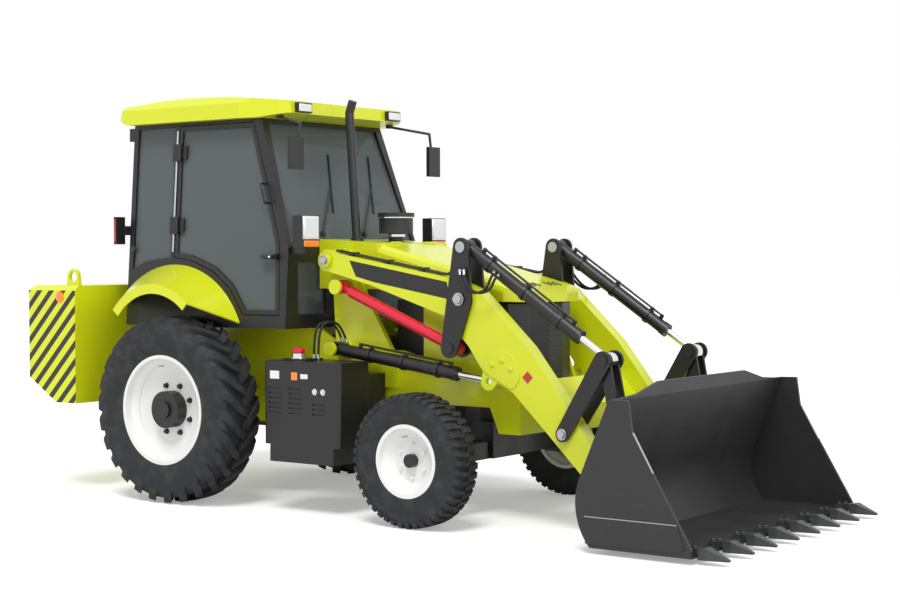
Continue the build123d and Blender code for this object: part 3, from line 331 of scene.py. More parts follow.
@dataclass(frozen=True)
class Glazing:
    """Toughened glass, tinted in the mass: grey and clear, with a mirror-like skin."""

    name: str
    tint: str
    clearness: float
    body: str = "#8A9396"

    def make(self) -> bpy.types.Material:
        """Builds the glass: a share of the light passes tinted, the rest shows a grey body and its gloss."""
        tree = Tree(self.name)
        clear = tree.add("ShaderNodeBsdfTransparent", Color=linear(self.tint))
        haze = tree.ramp(tree.noise(900.0, 2.0), 0.3, 0.7, (0.04, 0.07))
        settings = {"Base_Color": linear(self.body), "IOR": 1.5}
        body = tree.add("ShaderNodeBsdfPrincipled", {"Roughness": haze}, **settings)
        mix = tree.add("ShaderNodeMixShader", {1: body.outputs[0], 2: clear.outputs[0]}, Fac=self.clearness)
        return tree.finish(mix)


@dataclass(frozen=True)
class Lens:
    """A pressed plastic lens: glossy, with the fine vertical flutes that spread the beam, and a painted glow
    where glow is above 0.
    """

    name: str
    colour: str
    flute_mm: float = 9.0
    # glow: the emission strength of a painted glow, light drawn on the lens rather than cast by a lit lamp
    glow: float = 0.0

    def make(self) -> bpy.types.Material:
        """Builds the lens: a sine wave across y lifts the flutes."""
        tree = Tree(self.name)
        axes = tree.add("ShaderNodeSeparateXYZ", {"Vector": tree.object})
        turns = 2 * np.pi * per_metre(self.flute_mm)
        wave = tree.math("SINE", tree.math("MULTIPLY", axes.outputs["Y"], turns))
        colour = linear(self.colour)
        # The emission is a painted glow, not the light of a lit lamp.
        settings = {"Base_Color": colour, "Emission_Color": colour, "Emission_Strength": self.glow}
        links = {"Normal": tree.bump(wave, 0.6, 0.6)}
        return tree.principled(links, Roughness=0.08, IOR=1.49, Coat_Weight=0.6, **settings)


@dataclass(frozen=True)
class Cloth:
    """Woven polyester seat cover: two threads that cross, each catching the light at its crown.

    The threads are really 0.6 mm apart, and are drawn 6 mm apart so that they show.
    """

    name: str
    colour: str
    fleck: str = "#3A3B3E"
    thread_mm: float = 6.0

    def make(self) -> bpy.types.Material:
        """Builds the cloth: two sine waves at right angles make the weave."""
        tree = Tree(self.name)
        turned = tree.add("ShaderNodeMapping", {"Vector": tree.object}, Rotation=(0.0, 0.0, 0.785))
        axes = tree.add("ShaderNodeSeparateXYZ", {"Vector": turned.outputs[0]})
        turns = 2 * np.pi * per_metre(self.thread_mm)
        warp, weft = (tree.math("SINE", tree.math("MULTIPLY", axes.outputs[axis], turns)) for axis in "XY")
        links = {
            "Normal": tree.bump(tree.math("MULTIPLY", warp, weft), 0.5),
            "Base Color": tree.blend(tree.noise(40.0), self.colour, self.fleck),
        }
        return tree.principled(links, Roughness=0.85, Sheen_Weight=0.4)


FINISHES = {
    "lime": Enamel("lime_enamel", "#DCE318", "#D0D90F"),
    "hazard": HazardEnamel("hazard_striped_enamel", "#D8E014", "#141414"),
    "black": Enamel("satin_black_enamel", "#1C1C1D", "#161617", roughness=0.42, coat=0.1),
    "rim": Enamel("white_wheel_enamel", "#EDEDEA", "#E4E4E0", roughness=0.34, coat=0.2),
    "red": Enamel("red_rod_enamel", "#DE1638", "#D11032", roughness=0.28),
    "engine": Enamel("grey_engine_enamel", "#3A3C3E", "#313335", roughness=0.5, coat=0.0),
    "bucket": WornPaint("worn_bucket_paint", "#29292A", "#6A6A69"),
    "cast": WornPaint("cast_tooth_paint", "#3C3D3E", "#98989A", roughness=0.38, scratch_share=0.8),
    "tyre": Rubber("tyre_rubber", "#27282A", "#47474A"),
    "hose": Rubber("hose_rubber", "#1B1B1C", "#2C2C2E", roughness=0.55, grain_mm=3.0),
    "chrome": Metal("hard_chrome", "#E6E7E8", 0.08),
    "steel": Metal("zinc_plated_steel", "#B9BBBD", 0.28),
    "plastic": Moulding("black_polypropylene", "#1E1F20"),
    "glass": Glazing("tinted_toughened_glass", "#9AA5A8", 0.62),
    "clear": Lens("clear_lamp_lens", "#E8ECEF"),
    # The orange finish carries a painted glow of 0.15, also on the tank sticker and the counterweight
    # reflectors, which are no lamps.
    "orange": Lens("orange_indicator_lens", "#F5801A", glow=0.15),
    "red_lens": Lens("red_tail_lens", "#B81420"),
    "cloth": Cloth("seat_cloth", "#242528"),
}


class Wardrobe:
    """Builds each finish once and hands out its material."""

    def __init__(self) -> None:
        """Starts with nothing built."""
        self.made: dict[str, bpy.types.Material] = {}

    def __getitem__(self, name: str) -> bpy.types.Material:
        """The material of a finish in FINISHES, built at its first use."""
        if name not in self.made:
            self.made[name] = FINISHES[name].make()
        return self.made[name]


FINISH = Wardrobe()

# ---- studio ----


@dataclass
class Studio:
    """The camera, the lights and the pale floor round the machine."""

    position: Point = (7.533, -9.978, 1.816)
    yaw: float = 0.63193
    pitch: float = 0.02743
    roll: float = -0.00366
    lens_mm: float = 68.8
    clip_m: float = 200.0
    surround: float = 0.62
    floor_half: float = 60.0
    floor_glow: float = 0.3

    def camera(self) -> None:
        """Sets the camera: forward from yaw and pitch, then the picture is turned by roll."""
        cy, sy, cp, sp = np.cos(self.yaw), np.sin(self.yaw), np.cos(self.pitch), np.sin(self.pitch)
        ahead = Vector((-sy * cp, cy * cp, -sp))
        level = Vector((cy, sy, 0.0))
        upright = level.cross(ahead)
        across = np.cos(self.roll) * level + np.sin(self.roll) * upright
        upward = np.cos(self.roll) * upright - np.sin(self.roll) * level
        data = bpy.data.cameras.new("camera")
        data.lens = self.lens_mm
        data.clip_end = self.clip_m
        camera = bpy.data.objects.new("camera", data)
        turn = Matrix((across, upward, -ahead)).transposed().to_4x4()
        camera.matrix_world = Matrix.Translation(self.position) @ turn
        bpy.context.collection.objects.link(camera)
        bpy.context.scene.camera = camera

    def world(self) -> None:
        """A white surround that the camera, gloss and glass see at full strength and that lights softly."""
        world = bpy.data.worlds.new("studio")
        bpy.context.scene.world = world
        world.use_nodes = True
        nodes, links = world.node_tree.nodes, world.node_tree.links
        nodes.clear()
        mix = nodes.new("ShaderNodeMixShader")
        for number, strength in ((1, self.surround), (2, 1.0)):
            light = nodes.new("ShaderNodeBackground")
            light.inputs["Strength"].default_value = strength
            light.inputs["Color"].default_value = linear(WHITE)
            links.new(light.outputs[0], mix.inputs[number])
        rays = nodes.new("ShaderNodeLightPath").outputs
        seen = rays["Is Camera Ray"]
        for ray in ("Is Transmission Ray", "Is Glossy Ray"):
            either = nodes.new("ShaderNodeMath")
            either.operation = "MAXIMUM"
            links.new(seen, either.inputs[0])
            links.new(rays[ray], either.inputs[1])
            seen = either.outputs[0]
        links.new(seen, mix.inputs[0])
        links.new(mix.outputs[0], nodes.new("ShaderNodeOutputWorld").inputs["Surface"])

    def lamps(self) -> None:
        """One broad sun from above the camera's left shoulder and a weaker one from the front."""
        for name, strength, angle, towards in (
            ("key", 1.7, 0.35, (-0.25, 0.55, -1.0)),
            ("front", 0.7, 0.6, (-0.9, 0.35, -0.35)),
        ):
            data = bpy.data.lights.new(name, "SUN")
            data.energy = strength
            data.angle = angle
            lamp = bpy.data.objects.new(name, data)
            lamp.rotation_euler = Vector(towards).to_track_quat("-Z", "Y").to_euler()
            bpy.context.collection.objects.link(lamp)

    def floor(self) -> None:
        """A flat pale floor whose own light for the camera makes it white outside the machine's shadow."""
        mesh = bpy.data.meshes.new("floor")
        s = self.floor_half
        mesh.from_pydata([(-s, -s, 0), (s, -s, 0), (s, s, 0), (-s, s, 0)], [], [(0, 1, 2, 3)])
        floor = bpy.data.objects.new("floor", mesh)
        bpy.context.collection.objects.link(floor)
        tree = Tree("studio_floor")
        path = tree.add("ShaderNodeLightPath")
        glow = tree.math("MULTIPLY", path.outputs["Is Camera Ray"], self.floor_glow)
        matte = tree.add("ShaderNodeBsdfDiffuse", Color=linear("#F2F2F2"))
        light = tree.add("ShaderNodeEmission", {"Strength": glow}, Color=linear(WHITE))
        both = tree.add("ShaderNodeAddShader", {0: matte.outputs[0], 1: light.outputs[0]})
        mesh.materials.append(tree.finish(both))

    def build(self) -> None:
        """Sets up the whole studio."""
        bpy.context.scene.view_settings.view_transform = "Standard"
        self.camera()
        self.world()
        self.lamps()
        self.floor()
        log.info("studio: camera, lights and floor")


# ---- building pieces ----

AXLE_MM = 1522.0


def at(x: float, y: float, z: float) -> Array:
    """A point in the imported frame's metres, from millimetres ahead of the rear axle, to the left and up."""
    return np.array([(x - AXLE_MM) / 1000, y / 1000, z / 1000])


@dataclass
class Shell:
    """Closed surfaces as whole arrays.

    Attributes:
        points: one row (x, y, z) for each vertex, in metres.
        corners: the vertex numbers of every face, one face after another.
        sizes: how many corners each face has.
    """

    points: Array
    corners: Array
    sizes: Array


def grid(points: Array, closed: bool = False) -> Shell:
    """A surface over a grid of points whose columns go round.

    Args:
        points: an array of rows, columns and (x, y, z).
        closed: whether the last row joins the first. Otherwise a flat face closes each end.
    """
    rows, columns = points.shape[:2]
    row, column = np.divmod(np.arange((rows if closed else rows - 1) * columns), columns)
    onward, around = (row + 1) % rows * columns, (column + 1) % columns
    row *= columns
    corners = np.stack([row + column, row + around, onward + around, onward + column], -1).ravel()
    sizes = np.full(len(row), 4)
    if not closed:
        ends = np.arange(columns)[::-1], np.arange(columns) + (rows - 1) * columns
        corners, sizes = np.concatenate([corners, *ends]), np.append(sizes, [columns, columns])
    return Shell(points.reshape(-1, 3), corners, sizes)


def join(shells: Sequence[Shell]) -> Shell:
    """One shell made of several."""
    counts = [len(shell.points) for shell in shells]
    starts = np.cumsum([0, *counts[:-1]])
    corners = np.concatenate([shell.corners + start for shell, start in zip(shells, starts)])
    points = np.vstack([shell.points for shell in shells])
    return Shell(points, corners, np.concatenate([shell.sizes for shell in shells]))


def cuboid(first: Array, second: Array) -> Shell:
    """A box between two opposite corners."""
    low, high = np.minimum(first, second), np.maximum(first, second)
    rings = np.array([[(x, y, z) for x, y in ((0, 0), (1, 0), (1, 1), (0, 1))] for z in (0, 1)])
    return grid(low + rings * (high - low))


def slab(outline: Sequence[Pair], low: float, high: float) -> Shell:
    """A flat plate that looks sideways.

    Args:
        outline: its corners as (ahead, up) in millimetres, in order round the plate.
        low: y of one face, in millimetres.
        high: y of the other face.
    """
    x, z = np.array(outline).T
    return grid(np.stack([at(x, np.full(len(x), y), z).T for y in (low, high)]))


def round_axis(axis: Array, sides: int) -> Array:
    """Unit directions at right angles to an axis, evenly spaced round it.

    Each is cos(turn) * first + sin(turn) * second, where first and second are at right angles to the axis and
    to each other.
    """
    helper = np.array([0.0, 0.0, 1.0]) if abs(axis[2]) < 0.9 else np.array([1.0, 0.0, 0.0])
    first = np.cross(helper, axis)
    first /= np.linalg.norm(first)
    turn = np.arange(sides) * 2 * np.pi / sides
    return np.cos(turn)[:, None] * first + np.sin(turn)[:, None] * np.cross(axis, first)


def lathe(profile: Sequence[Pair], centre: Array, axis: Array, sides: int = 32) -> Shell:
    """A turned piece: a profile swept round an axis.

    Args:
        profile: (distance along the axis, radius) in millimetres, from end to end.
        centre: the point on the axis where the distance is 0.
        axis: the axis's direction.
        sides: how many facets go round.

    Returns:
        The closed surface: centre + distance * axis + radius * direction round the axis.
    """
    axis = np.asarray(axis, float) / np.linalg.norm(axis)
    table = np.array(profile)[:, None] / 1000
    return grid(centre + table[..., :1] * axis + table[..., 1:] * round_axis(axis, sides))


def hex_heads(centres: Sequence[Array], axis: Array, across_flats: float, height: float) -> Shell:
    """Hexagon bolt heads on washers at several points, all along one axis."""
    half = across_flats / np.sqrt(3)
    washer = [(0.0, half * 1.25), (2.5, half * 1.25)]
    head = [(2.4, half), (height * 0.85, half), (height, half * 0.86)]
    shapes = ((washer, 16), (head, 6))
    return join([lathe(profile, c, axis, sides) for profile, sides in shapes for c in centres])


def add_piece(name: str, data: bpy.types.ID, finish: str, body: str) -> bpy.types.Object:
    """Links a piece into the scene, gives it its finish, and lets it ride on a body unless body is empty."""
    piece = bpy.data.objects.new(name, data)
    bpy.context.collection.objects.link(piece)
    data.materials.append(FINISH[finish])
    if body:
        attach(piece, body)
    return piece


def show(name: str, shell: Shell, finish: str, body: str, bevel_mm: float = 0.0) -> bpy.types.Object:
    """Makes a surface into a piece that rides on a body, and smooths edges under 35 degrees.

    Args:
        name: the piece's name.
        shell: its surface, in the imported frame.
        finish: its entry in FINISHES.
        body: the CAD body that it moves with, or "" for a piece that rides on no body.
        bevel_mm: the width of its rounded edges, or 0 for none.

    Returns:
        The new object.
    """
    mesh = bpy.data.meshes.new(name)
    mesh.vertices.add(len(shell.points))
    mesh.loops.add(len(shell.corners))
    mesh.polygons.add(len(shell.sizes))
    mesh.vertices.foreach_set("co", shell.points.ravel())
    mesh.loops.foreach_set("vertex_index", shell.corners)
    mesh.polygons.foreach_set("loop_start", np.cumsum(shell.sizes) - shell.sizes)
    mesh.update(calc_edges=True)
    mesh.validate()
    outward = bmesh.new()
    outward.from_mesh(mesh)
    bmesh.ops.recalc_face_normals(outward, faces=outward.faces)
    outward.to_mesh(mesh)
    outward.free()
    mesh.shade_smooth()
    mesh.set_sharp_from_angle(angle=np.radians(35))
    piece = add_piece(name, mesh, finish, body)
    if bevel_mm:
        bevel = piece.modifiers.new("rounded_edges", "BEVEL")
        bevel.width = bevel_mm / 1000
        bevel.segments = 2
        bevel.limit_method = "ANGLE"
        bevel.angle_limit = np.radians(40)
    return piece


def pipe(
    name: str, route: Sequence[Array], radius_mm: float, finish: str, body: str, bend_mm: float = 40.0
) -> None:
    """A rigid pipe along a route, with a round bend at each inner corner.

    Args:
        name: the piece's name.
        route: the corner points, from end to end.
        radius_mm: the pipe's outer radius.
        finish: its entry in FINISHES.
        body: the CAD body that it moves with.
        bend_mm: how far from each corner its bend begins, at most.
    """
    points = [route[0]]
    share = np.linspace(0, 1, 7)[:, None]
    for before, corner, after in zip(route, route[1:], route[2:]):
        back, on = before - corner, after - corner
        reach = min(bend_mm / 1000, np.linalg.norm(back) * 0.45, np.linalg.norm(on) * 0.45)
        start = corner + back / np.linalg.norm(back) * reach
        stop = corner + on / np.linalg.norm(on) * reach
        points += list((1 - share) ** 2 * start + 2 * share * (1 - share) * corner + share**2 * stop)
    points.append(route[-1])
    data = bpy.data.curves.new(name, "CURVE")
    data.dimensions = "3D"
    data.bevel_depth = radius_mm / 1000
    data.bevel_resolution = 3
    data.use_fill_caps = True
    line = data.splines.new("POLY")
    line.points.add(len(points) - 1)
    line.points.foreach_set("co", np.hstack([points, np.ones((len(points), 1))]).ravel())
    add_piece(name, data, finish, body)


def surface(x: float, y: float, z: float, way: Sequence[float]) -> Array:
    """Where a straight line from a point, given as in at(), first meets anything built so far."""
    graph = bpy.context.evaluated_depsgraph_get()
    found, spot, *_ = bpy.context.scene.ray_cast(graph, Vector(at(x, y, z)), Vector(way))
    if not found:
        raise ValueError(f"nothing on the line from {x}, {y}, {z}")
    return np.array(spot)


BESIDE = 1400.0


def from_side(side: Side, x: float, z: float) -> Array:
    """The outermost point of the machine at that height and distance ahead, seen from one side."""
    return surface(x, side.value * BESIDE, z, (0, -side.value, 0))


# ---- wheels ----


@dataclass(frozen=True)
class WheelSize:
    """One axle's wheels, in millimetres.

    Attributes:
        place: "rear" or "front".
        ahead: the axle's place ahead of the rear axle.
        middle: the tyre's middle plane from y = 0.
        radius: the tyre's radius out to its bars, and the height of the axle.
        width: the tyre's width.
        rim: the rim's radius.
        bar: height of the tread bars.
        count: bars on each side of the tread.
        bar_width: thickness of a bar.
        lean: how far a bar leans over the half tread.
        nut_circle: the radius of the circle that the wheel nuts stand on.
        nut_face: the disc's outer face from the middle plane.
        nuts: how many nuts.
        nut_size: their width across flats.
        nut_finish: their entry in FINISHES.
    """

    place: str
    ahead: float
    middle: float
    radius: float
    width: float
    rim: float
    bar: float
    count: int
    bar_width: float
    lean: float
    nut_circle: float
    nut_face: float
    nuts: int
    nut_size: float
    nut_finish: str


WHEELS = (
    WheelSize("rear", 0, 999.0, 682, 380, 387, 38, 26, 66, 176, 182, 38.0, 8, 30, "plastic"),
    WheelSize("front", 2170, 974.5, 447, 235, 232, 14, 44, 30, 20, 112, 18.0, 6, 24, "rim"),
)
# The tyre's side: share of the half width, and share of the depth from the rim to the tread's floor.
TYRE_SIDE = (
    (0.83, 0.035), (0.86, 0.07), (0.93, 0.17), (0.98, 0.33), (0.995, 0.5), (0.985, 0.66), (0.955, 0.8),
    (0.9, 0.91), (0.8, 0.975),
)
BEAD_SINK, TREAD_SINK, TYRE_SIDES = 2, 1, 104
# A bar: share of the half tread, crest and foot in bar heights from their circles, width in bar widths.
BAR = np.array([
    (-0.04, 0.0, -0.4, 0.82), (0.18, 0.0, -0.4, 0.9), (0.38, -0.02, -0.4, 1.0), (0.58, -0.06, -0.5, 1.08),
    (0.76, -0.16, -0.8, 1.16), (0.88, -0.55, -1.3, 1.2), (0.97, -1.6, -2.2, 1.1),
])
BAR_FOOT, BAR_CURVE = 1.16, 1.3


@dataclass
class Wheel:
    """One wheel's looks: its moulded tyre, nuts and valve."""

    size: WheelSize
    side: Side

    @property
    def body(self) -> str:
        """The CAD body that the wheel's pieces ride on."""
        return f"{self.size.place}_{self.side.label}_wheel"

    @property
    def hub(self) -> Array:
        """The wheel's middle."""
        return at(self.size.ahead, self.side.value * self.size.middle, self.size.radius)

    def carcass(self) -> Shell:
        """The tyre's body: bead, bulged side, shoulder and tread, turned round the axle."""
        s = self.size
        half, tread = s.width / 2, s.radius - s.bar
        bead, depth = s.rim - BEAD_SINK, tread - s.rim
        side = [(0.78, bead), *((y, s.rim + r * depth) for y, r in TYRE_SIDE), (0.5, tread - TREAD_SINK)]
        ring = [(-y * half, r) for y, r in side] + [(y * half, r) for y, r in reversed(side)]
        y, r = np.array([*ring, (0.76 * half, bead), (-0.76 * half, bead)]).T[..., None] / 1000
        turn = np.arange(TYRE_SIDES) * 2 * np.pi / TYRE_SIDES
        across = np.repeat(y * self.side.value, TYRE_SIDES, axis=1)
        return grid(np.stack([r * np.cos(turn), across, r * np.sin(turn)], -1) + self.hub, closed=True)

    def bars(self) -> Shell:
        """The tread bars: each leans from the middle over the shoulder, and is tapered like a moulding.

        At each station of BAR the bar's middle stands at the angle lean * share ** 1.3 / radius round the
        tyre, and its crest falls away over the shoulder.
        """
        s = self.size
        tread = s.radius - s.bar
        share, crest, foot, wide = BAR.T
        crest, foot = crest * s.bar + s.radius, foot * s.bar + tread
        angle = s.lean * np.abs(share) ** BAR_CURVE * np.sign(share) / s.radius
        top = wide * s.bar_width / 2 / s.radius
        base = wide * s.bar_width / 2 * BAR_FOOT / tread
        turns = np.stack([angle - base, angle - top, angle + top, angle + base], -1)
        radius = np.stack([foot, crest, crest, foot], -1) / 1000
        across = np.repeat(share[:, None] * s.width / 2000 * self.side.value, 4, axis=1)
        pieces = []
        for row, offset in ((1.0, 0.0), (-1.0, 0.5)):
            for start in (np.arange(s.count) + offset) * 2 * np.pi / s.count:
                a = turns + start
                points = np.stack([radius * np.cos(a), across * row, radius * np.sin(a)], -1)
                pieces.append(grid(points + self.hub))
        return join(pieces)

    def build(self) -> None:
        """Builds the tyre in place of its CAD node, then the nuts and the valve."""
        s = self.size
        tyre = show(f"{self.body}_tyre_skin", join([self.carcass(), self.bars()]), "tyre", self.body)
        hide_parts(f"{s.place}_{self.side.label}_tyre")
        outward = np.array([0.0, self.side.value, 0.0])
        turn = (np.arange(s.nuts) + 0.5) * 2 * np.pi / s.nuts
        face = self.hub + outward * s.nut_face / 1000
        circle = np.stack([np.cos(turn), 0 * turn, np.sin(turn)], -1) * s.nut_circle / 1000
        nuts = hex_heads(list(face + circle), outward, s.nut_size, s.nut_size * 0.8)
        show(f"{self.body}_nuts", nuts, s.nut_finish, self.body)
        stem = self.hub + np.array([0.0, self.side.value * s.width / 2 * 0.72, s.rim - 66]) / 1000
        valve = [(0, 7), (18, 7), (18.5, 4.5), (40, 4.5), (40.5, 6), (52, 6)]
        show(f"{self.body}_valve", lathe(valve, stem, outward, 12), "steel", self.body)
        log.info("wheel: %s", self.body)


# ---- hoses ----


def curve_through(control: Array, samples: int = 96) -> Array:
    """Points along the clamped quadratic B-spline of some control points.

    Its pieces join halfway between control points: P(u) = (1 - u)^2 start + 2 u (1 - u) control + u^2 stop.
    """
    spans = len(control) - 2
    t = np.linspace(0, spans, samples)
    span = np.minimum(t.astype(int), spans - 1)
    u = (t - span)[:, None]
    halfway = (control[:-1] + control[1:]) / 2
    start, stop = halfway[:-1].copy(), halfway[1:].copy()
    start[0], stop[-1] = control[0], control[-1]
    return (1 - u) ** 2 * start[span] + 2 * u * (1 - u) * control[1:-1][span] + u**2 * stop[span]


def tube(path: Array, radius: float, sides: int = 14) -> Shell:
    """A round tube round a smooth path, closed at both ends."""
    along = np.gradient(path, axis=0)
    along /= np.linalg.norm(along, axis=1)[:, None]
    first = np.cross(along, np.array([0.31, 0.93, 0.2]))
    first /= np.linalg.norm(first, axis=1)[:, None]
    second = np.cross(along, first)
    turn = (np.arange(sides) * 2 * np.pi / sides)[None, :, None]
    return grid(path[:, None] + radius * (np.cos(turn) * first[:, None] + np.sin(turn) * second[:, None]))


@dataclass(frozen=True)
class Hose:
    """A free hydraulic hose that crosses one joint.

    Attributes:
        name: the piece's name.
        control: control points as (x, |y|, z) for at(), from the fitting where it leaves the object.
        side: which side of the machine it is on.
        bodies: the two bodies that it joins.
        diameter: its outer diameter, in metres.
    """

    name: str
    control: Sequence[Point]
    side: Side
    bodies: tuple[str, str]
    diameter: float = 0.018

    def build(self) -> None:
        """Builds the hose and its two ferrules."""
        path = curve_through(np.array([at(x, self.side.value * y, z) for x, y, z in self.control]))
        hose = show(self.name, tube(path, self.diameter / 2), "hose", "")
        tuple(path[0])
        tuple(path[-1])
        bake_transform(hose)
        half = self.diameter * 500
        profile = [(-14, half + 2), (-6, half + 5), (4, half + 5), (6, half + 2), (26, half + 2), (28, half)]
        for number, (spot, inner, body) in enumerate(zip(path[[0, -1]], path[[3, -4]], self.bodies)):
            show(f"{self.name}_ferrule_{number}", lathe(profile, spot, inner - spot, 16), "steel", body)
        tuple(path[0])


# ---- loader ----

CRANK_TOP, LEVER_TOP = (2316, 1855), (3417, 1129)
LIFT_REAR, LIFT_FRONT = (1164, 1137), (2519, 957)
ARM_MIDDLE, ARM_FACE, BARREL_R = 570, 625, 49
ARM_TOP_X, ARM_TOP_Z, ARM_TOP_FALL = 1096, 1836, 0.1715
ARM_PANEL = ((1330, 1766), (2180, 1620), (2215, 1500), (1560, 1612), (1390, 1652))
ARM_DIAMOND = ((2835, 1040), (2875, 1000), (2835, 960), (2795, 1000))
ARM_BOSSES = ((2560, 1075), (2635, 1105), (2705, 1050))
ARM_LINE = ((1190, 1836), (1215, 1829), (2150, 1668), (2215, 1690))
# The stiffening plate: an arc round a centre, then the corners along the arm's lower edge.
STIFFENER_CENTRE, STIFFENER_R, STIFFENER_TURN = (2625, 1010), 150, (168, -10)
STIFFENER_FOOT = ((2735, 930), (2700, 918), (2510, 1012))
# Pin nuts: name, x, z, width across flats, body.
PIN_NUTS = (
    ("arm", 1119, 1766, 54, "arms"),
    ("crank", 2301, 1505, 62, "cranks"),
    ("lever", 3117, 645, 50, "arms"),
)
PORT_FALL, PORT_DROP = 0.66, 0.13


def beside(start: Pair, end: Pair, share: float, rise: float, y: float) -> Array:
    """The point share of the way along a side-view line and rise above it, at that y."""
    a, b = np.array(start, float), np.array(end, float)
    way = (b - a) / np.linalg.norm(b - a)
    x, z = a + (b - a) * share + np.array([-way[1], way[0]]) * rise
    return at(x, y, z)


@dataclass
class Loader:
    """What the loader's arms and cylinders carry on one side."""

    side: Side

    def barrel_line(self, body: str, start: Pair, end: Pair, low: float, high: float) -> None:
        """The pipe along a cylinder's barrel, with its port blocks and the bands that hold it.

        Args:
            body: the body of the barrels.
            start: the barrel's pin, as (x, z).
            end: the rod's pin.
            low: where the rear port is, as a share of the way from start to end.
            high: where the front port is.
        """
        y = self.side.value * ARM_MIDDLE

        def spot(share: float, rise: float = 0) -> Array:
            """A point of this barrel's side-view line."""
            return beside(start, end, share, rise, y)

        name = body.removesuffix("s")
        route = [spot(low, 30), spot(low, 66), spot(high, 66), spot(high, 30)]
        pipe(f"{name}_{self.side.label}_pipe", route, 8, "black", body, 26)
        shares = np.linspace(low + 0.07, high - 0.07, 3)
        band = [(-13, 45), (-13, BARREL_R + 4), (13, BARREL_R + 4), (13, 45)]
        bands = [lathe(band, spot(share), spot(high) - spot(low), 40) for share in shares]
        saddles = [
            lathe([(0, 15), (26, 15)], spot(share, BARREL_R - 2), spot(share, 99) - spot(share), 12)
            for share in (*shares, low, high)
        ]
        show(f"{name}_{self.side.label}_bands", join(bands + saddles), "black", body)

    def arm_lines(self) -> None:
        """The two pipes along the arm's top and their clamps."""
        middle = self.side.value * ARM_MIDDLE
        for number, inset in enumerate((-22, 22)):
            route = [at(x, self.side.value * (ARM_MIDDLE + inset), z) for x, z in ARM_LINE]
            pipe(f"arm_{self.side.label}_pipe_{number}", route, 9, "black", "arms", 30)
        clamps = []
        for x in (1330, 1640, 1950):
            z = ARM_TOP_Z - ARM_TOP_FALL * (x - ARM_TOP_X)
            clamps.append(cuboid(at(x - 20, middle - 42, z - 6), at(x + 20, middle + 42, z + 28)))
        show(f"arm_{self.side.label}_clamps", join(clamps), "black", "arms", 3)

    def arm_plates(self) -> None:
        """The stiffening plate round the lift ear with its bosses, the bare panel and the reflector."""
        s, label = self.side.value, self.side.label
        face = s * ARM_FACE
        turn = np.radians(np.linspace(*STIFFENER_TURN, 15))
        arc = np.array(STIFFENER_CENTRE) + STIFFENER_R * np.stack([np.cos(turn), np.sin(turn)], -1)
        plate = slab([*arc, *STIFFENER_FOOT], face, face + s * 7)
        show(f"arm_{label}_stiffener", plate, "lime", "arms", 2)
        boss = [(0, 17), (9, 17), (11, 13)]
        bosses = [lathe(boss, at(x, s * (ARM_FACE + 6), z), (0, s, 0), 20) for x, z in ARM_BOSSES]
        show(f"arm_{label}_bosses", join(bosses), "lime", "arms")
        show(f"arm_{label}_panel", slab(ARM_PANEL, face, face + s * 0.8), "black", "arms")
        show(f"arm_{label}_reflector", slab(ARM_DIAMOND, face, face + s * 5), "red_lens", "arms", 1.5)

    def tilt_hoses(self) -> None:
        """The double loop from the crank to the tilt barrel."""
        s, label = self.side.value, self.side.label
        for number, shift in enumerate((0, 34)):
            drop = shift * PORT_FALL
            loop = (
                (2322 + shift, 668, 1690), (2345 + shift, 700, 1620), (2440 + shift, 712, 1545),
                (2560 + shift, 712, 1560), (2600 + shift, 706, 1650), (2585 + shift, 664, 1672 - drop),
                (2572 + shift, 622, 1686 - drop),
            )
            Hose(f"tilt_{label}_hose_{number}", loop, self.side, ("cranks", "tilt_barrels")).build()
            block = cuboid(at(2304 + shift, s * 661 - 8, 1684), at(2338 + shift, s * 661 + 8, 1716))
            show(f"tilt_{label}_port_{number}", block, "black", "cranks", 2)
            port = lathe([(0, 15), (24, 15)], at(2572 + shift, s * 604, 1686 - drop), (0, s, 0), 12)
            show(f"tilt_{label}_barrel_port_{number}", port, "black", "tilt_barrels")

    def lift_hoses(self) -> None:
        """The two hoses that arch from the tank's top to the lift barrel."""
        s, label = self.side.value, self.side.label
        top = surface(1165, s * 800, 1400, (0, 0, -1))[2] * 1000
        for number, shift in enumerate((0, 40)):
            drop = shift * PORT_DROP
            loop = (
                (1150 + shift, 800, top), (1150 + shift, 800, top + 120), (1160 + shift, 775, top + 235),
                (1185 + shift, 690, top + 262), (1205 + shift, 610, top + 215),
                (1230 + shift, 582, 1190 - drop),
            )
            Hose(f"lift_{label}_hose_{number}", loop, self.side, ("chassis", "lift_barrels")).build()
            port = lathe([(0, 14), (30, 14)], at(1230 + shift, s * 580, 1160 - drop), (0, 0, 1), 12)
            show(f"lift_{label}_barrel_port_{number}", port, "black", "lift_barrels")

    def nuts(self) -> None:
        """The nuts that hold the arm's, the crank's and the lever's pins from outside."""
        outward = np.array([0, self.side.value, 0])
        for name, x, z, size, body in PIN_NUTS:
            nut = hex_heads([from_side(self.side, x, z)], outward, size, size * 0.4)
            show(f"{name}_{self.side.label}_pin_nut", nut, "steel", body, 1.5)

    def build(self) -> None:
        """Builds everything on this side."""
        self.barrel_line("tilt_barrels", CRANK_TOP, LEVER_TOP, 0.10, 0.74)
        self.barrel_line("lift_barrels", LIFT_REAR, LIFT_FRONT, 0.16, 0.74)
        self.arm_lines()
        self.arm_plates()
        self.tilt_hoses()
        self.lift_hoses()
        self.nuts()
        log.info("loader: %s side", self.side.label)


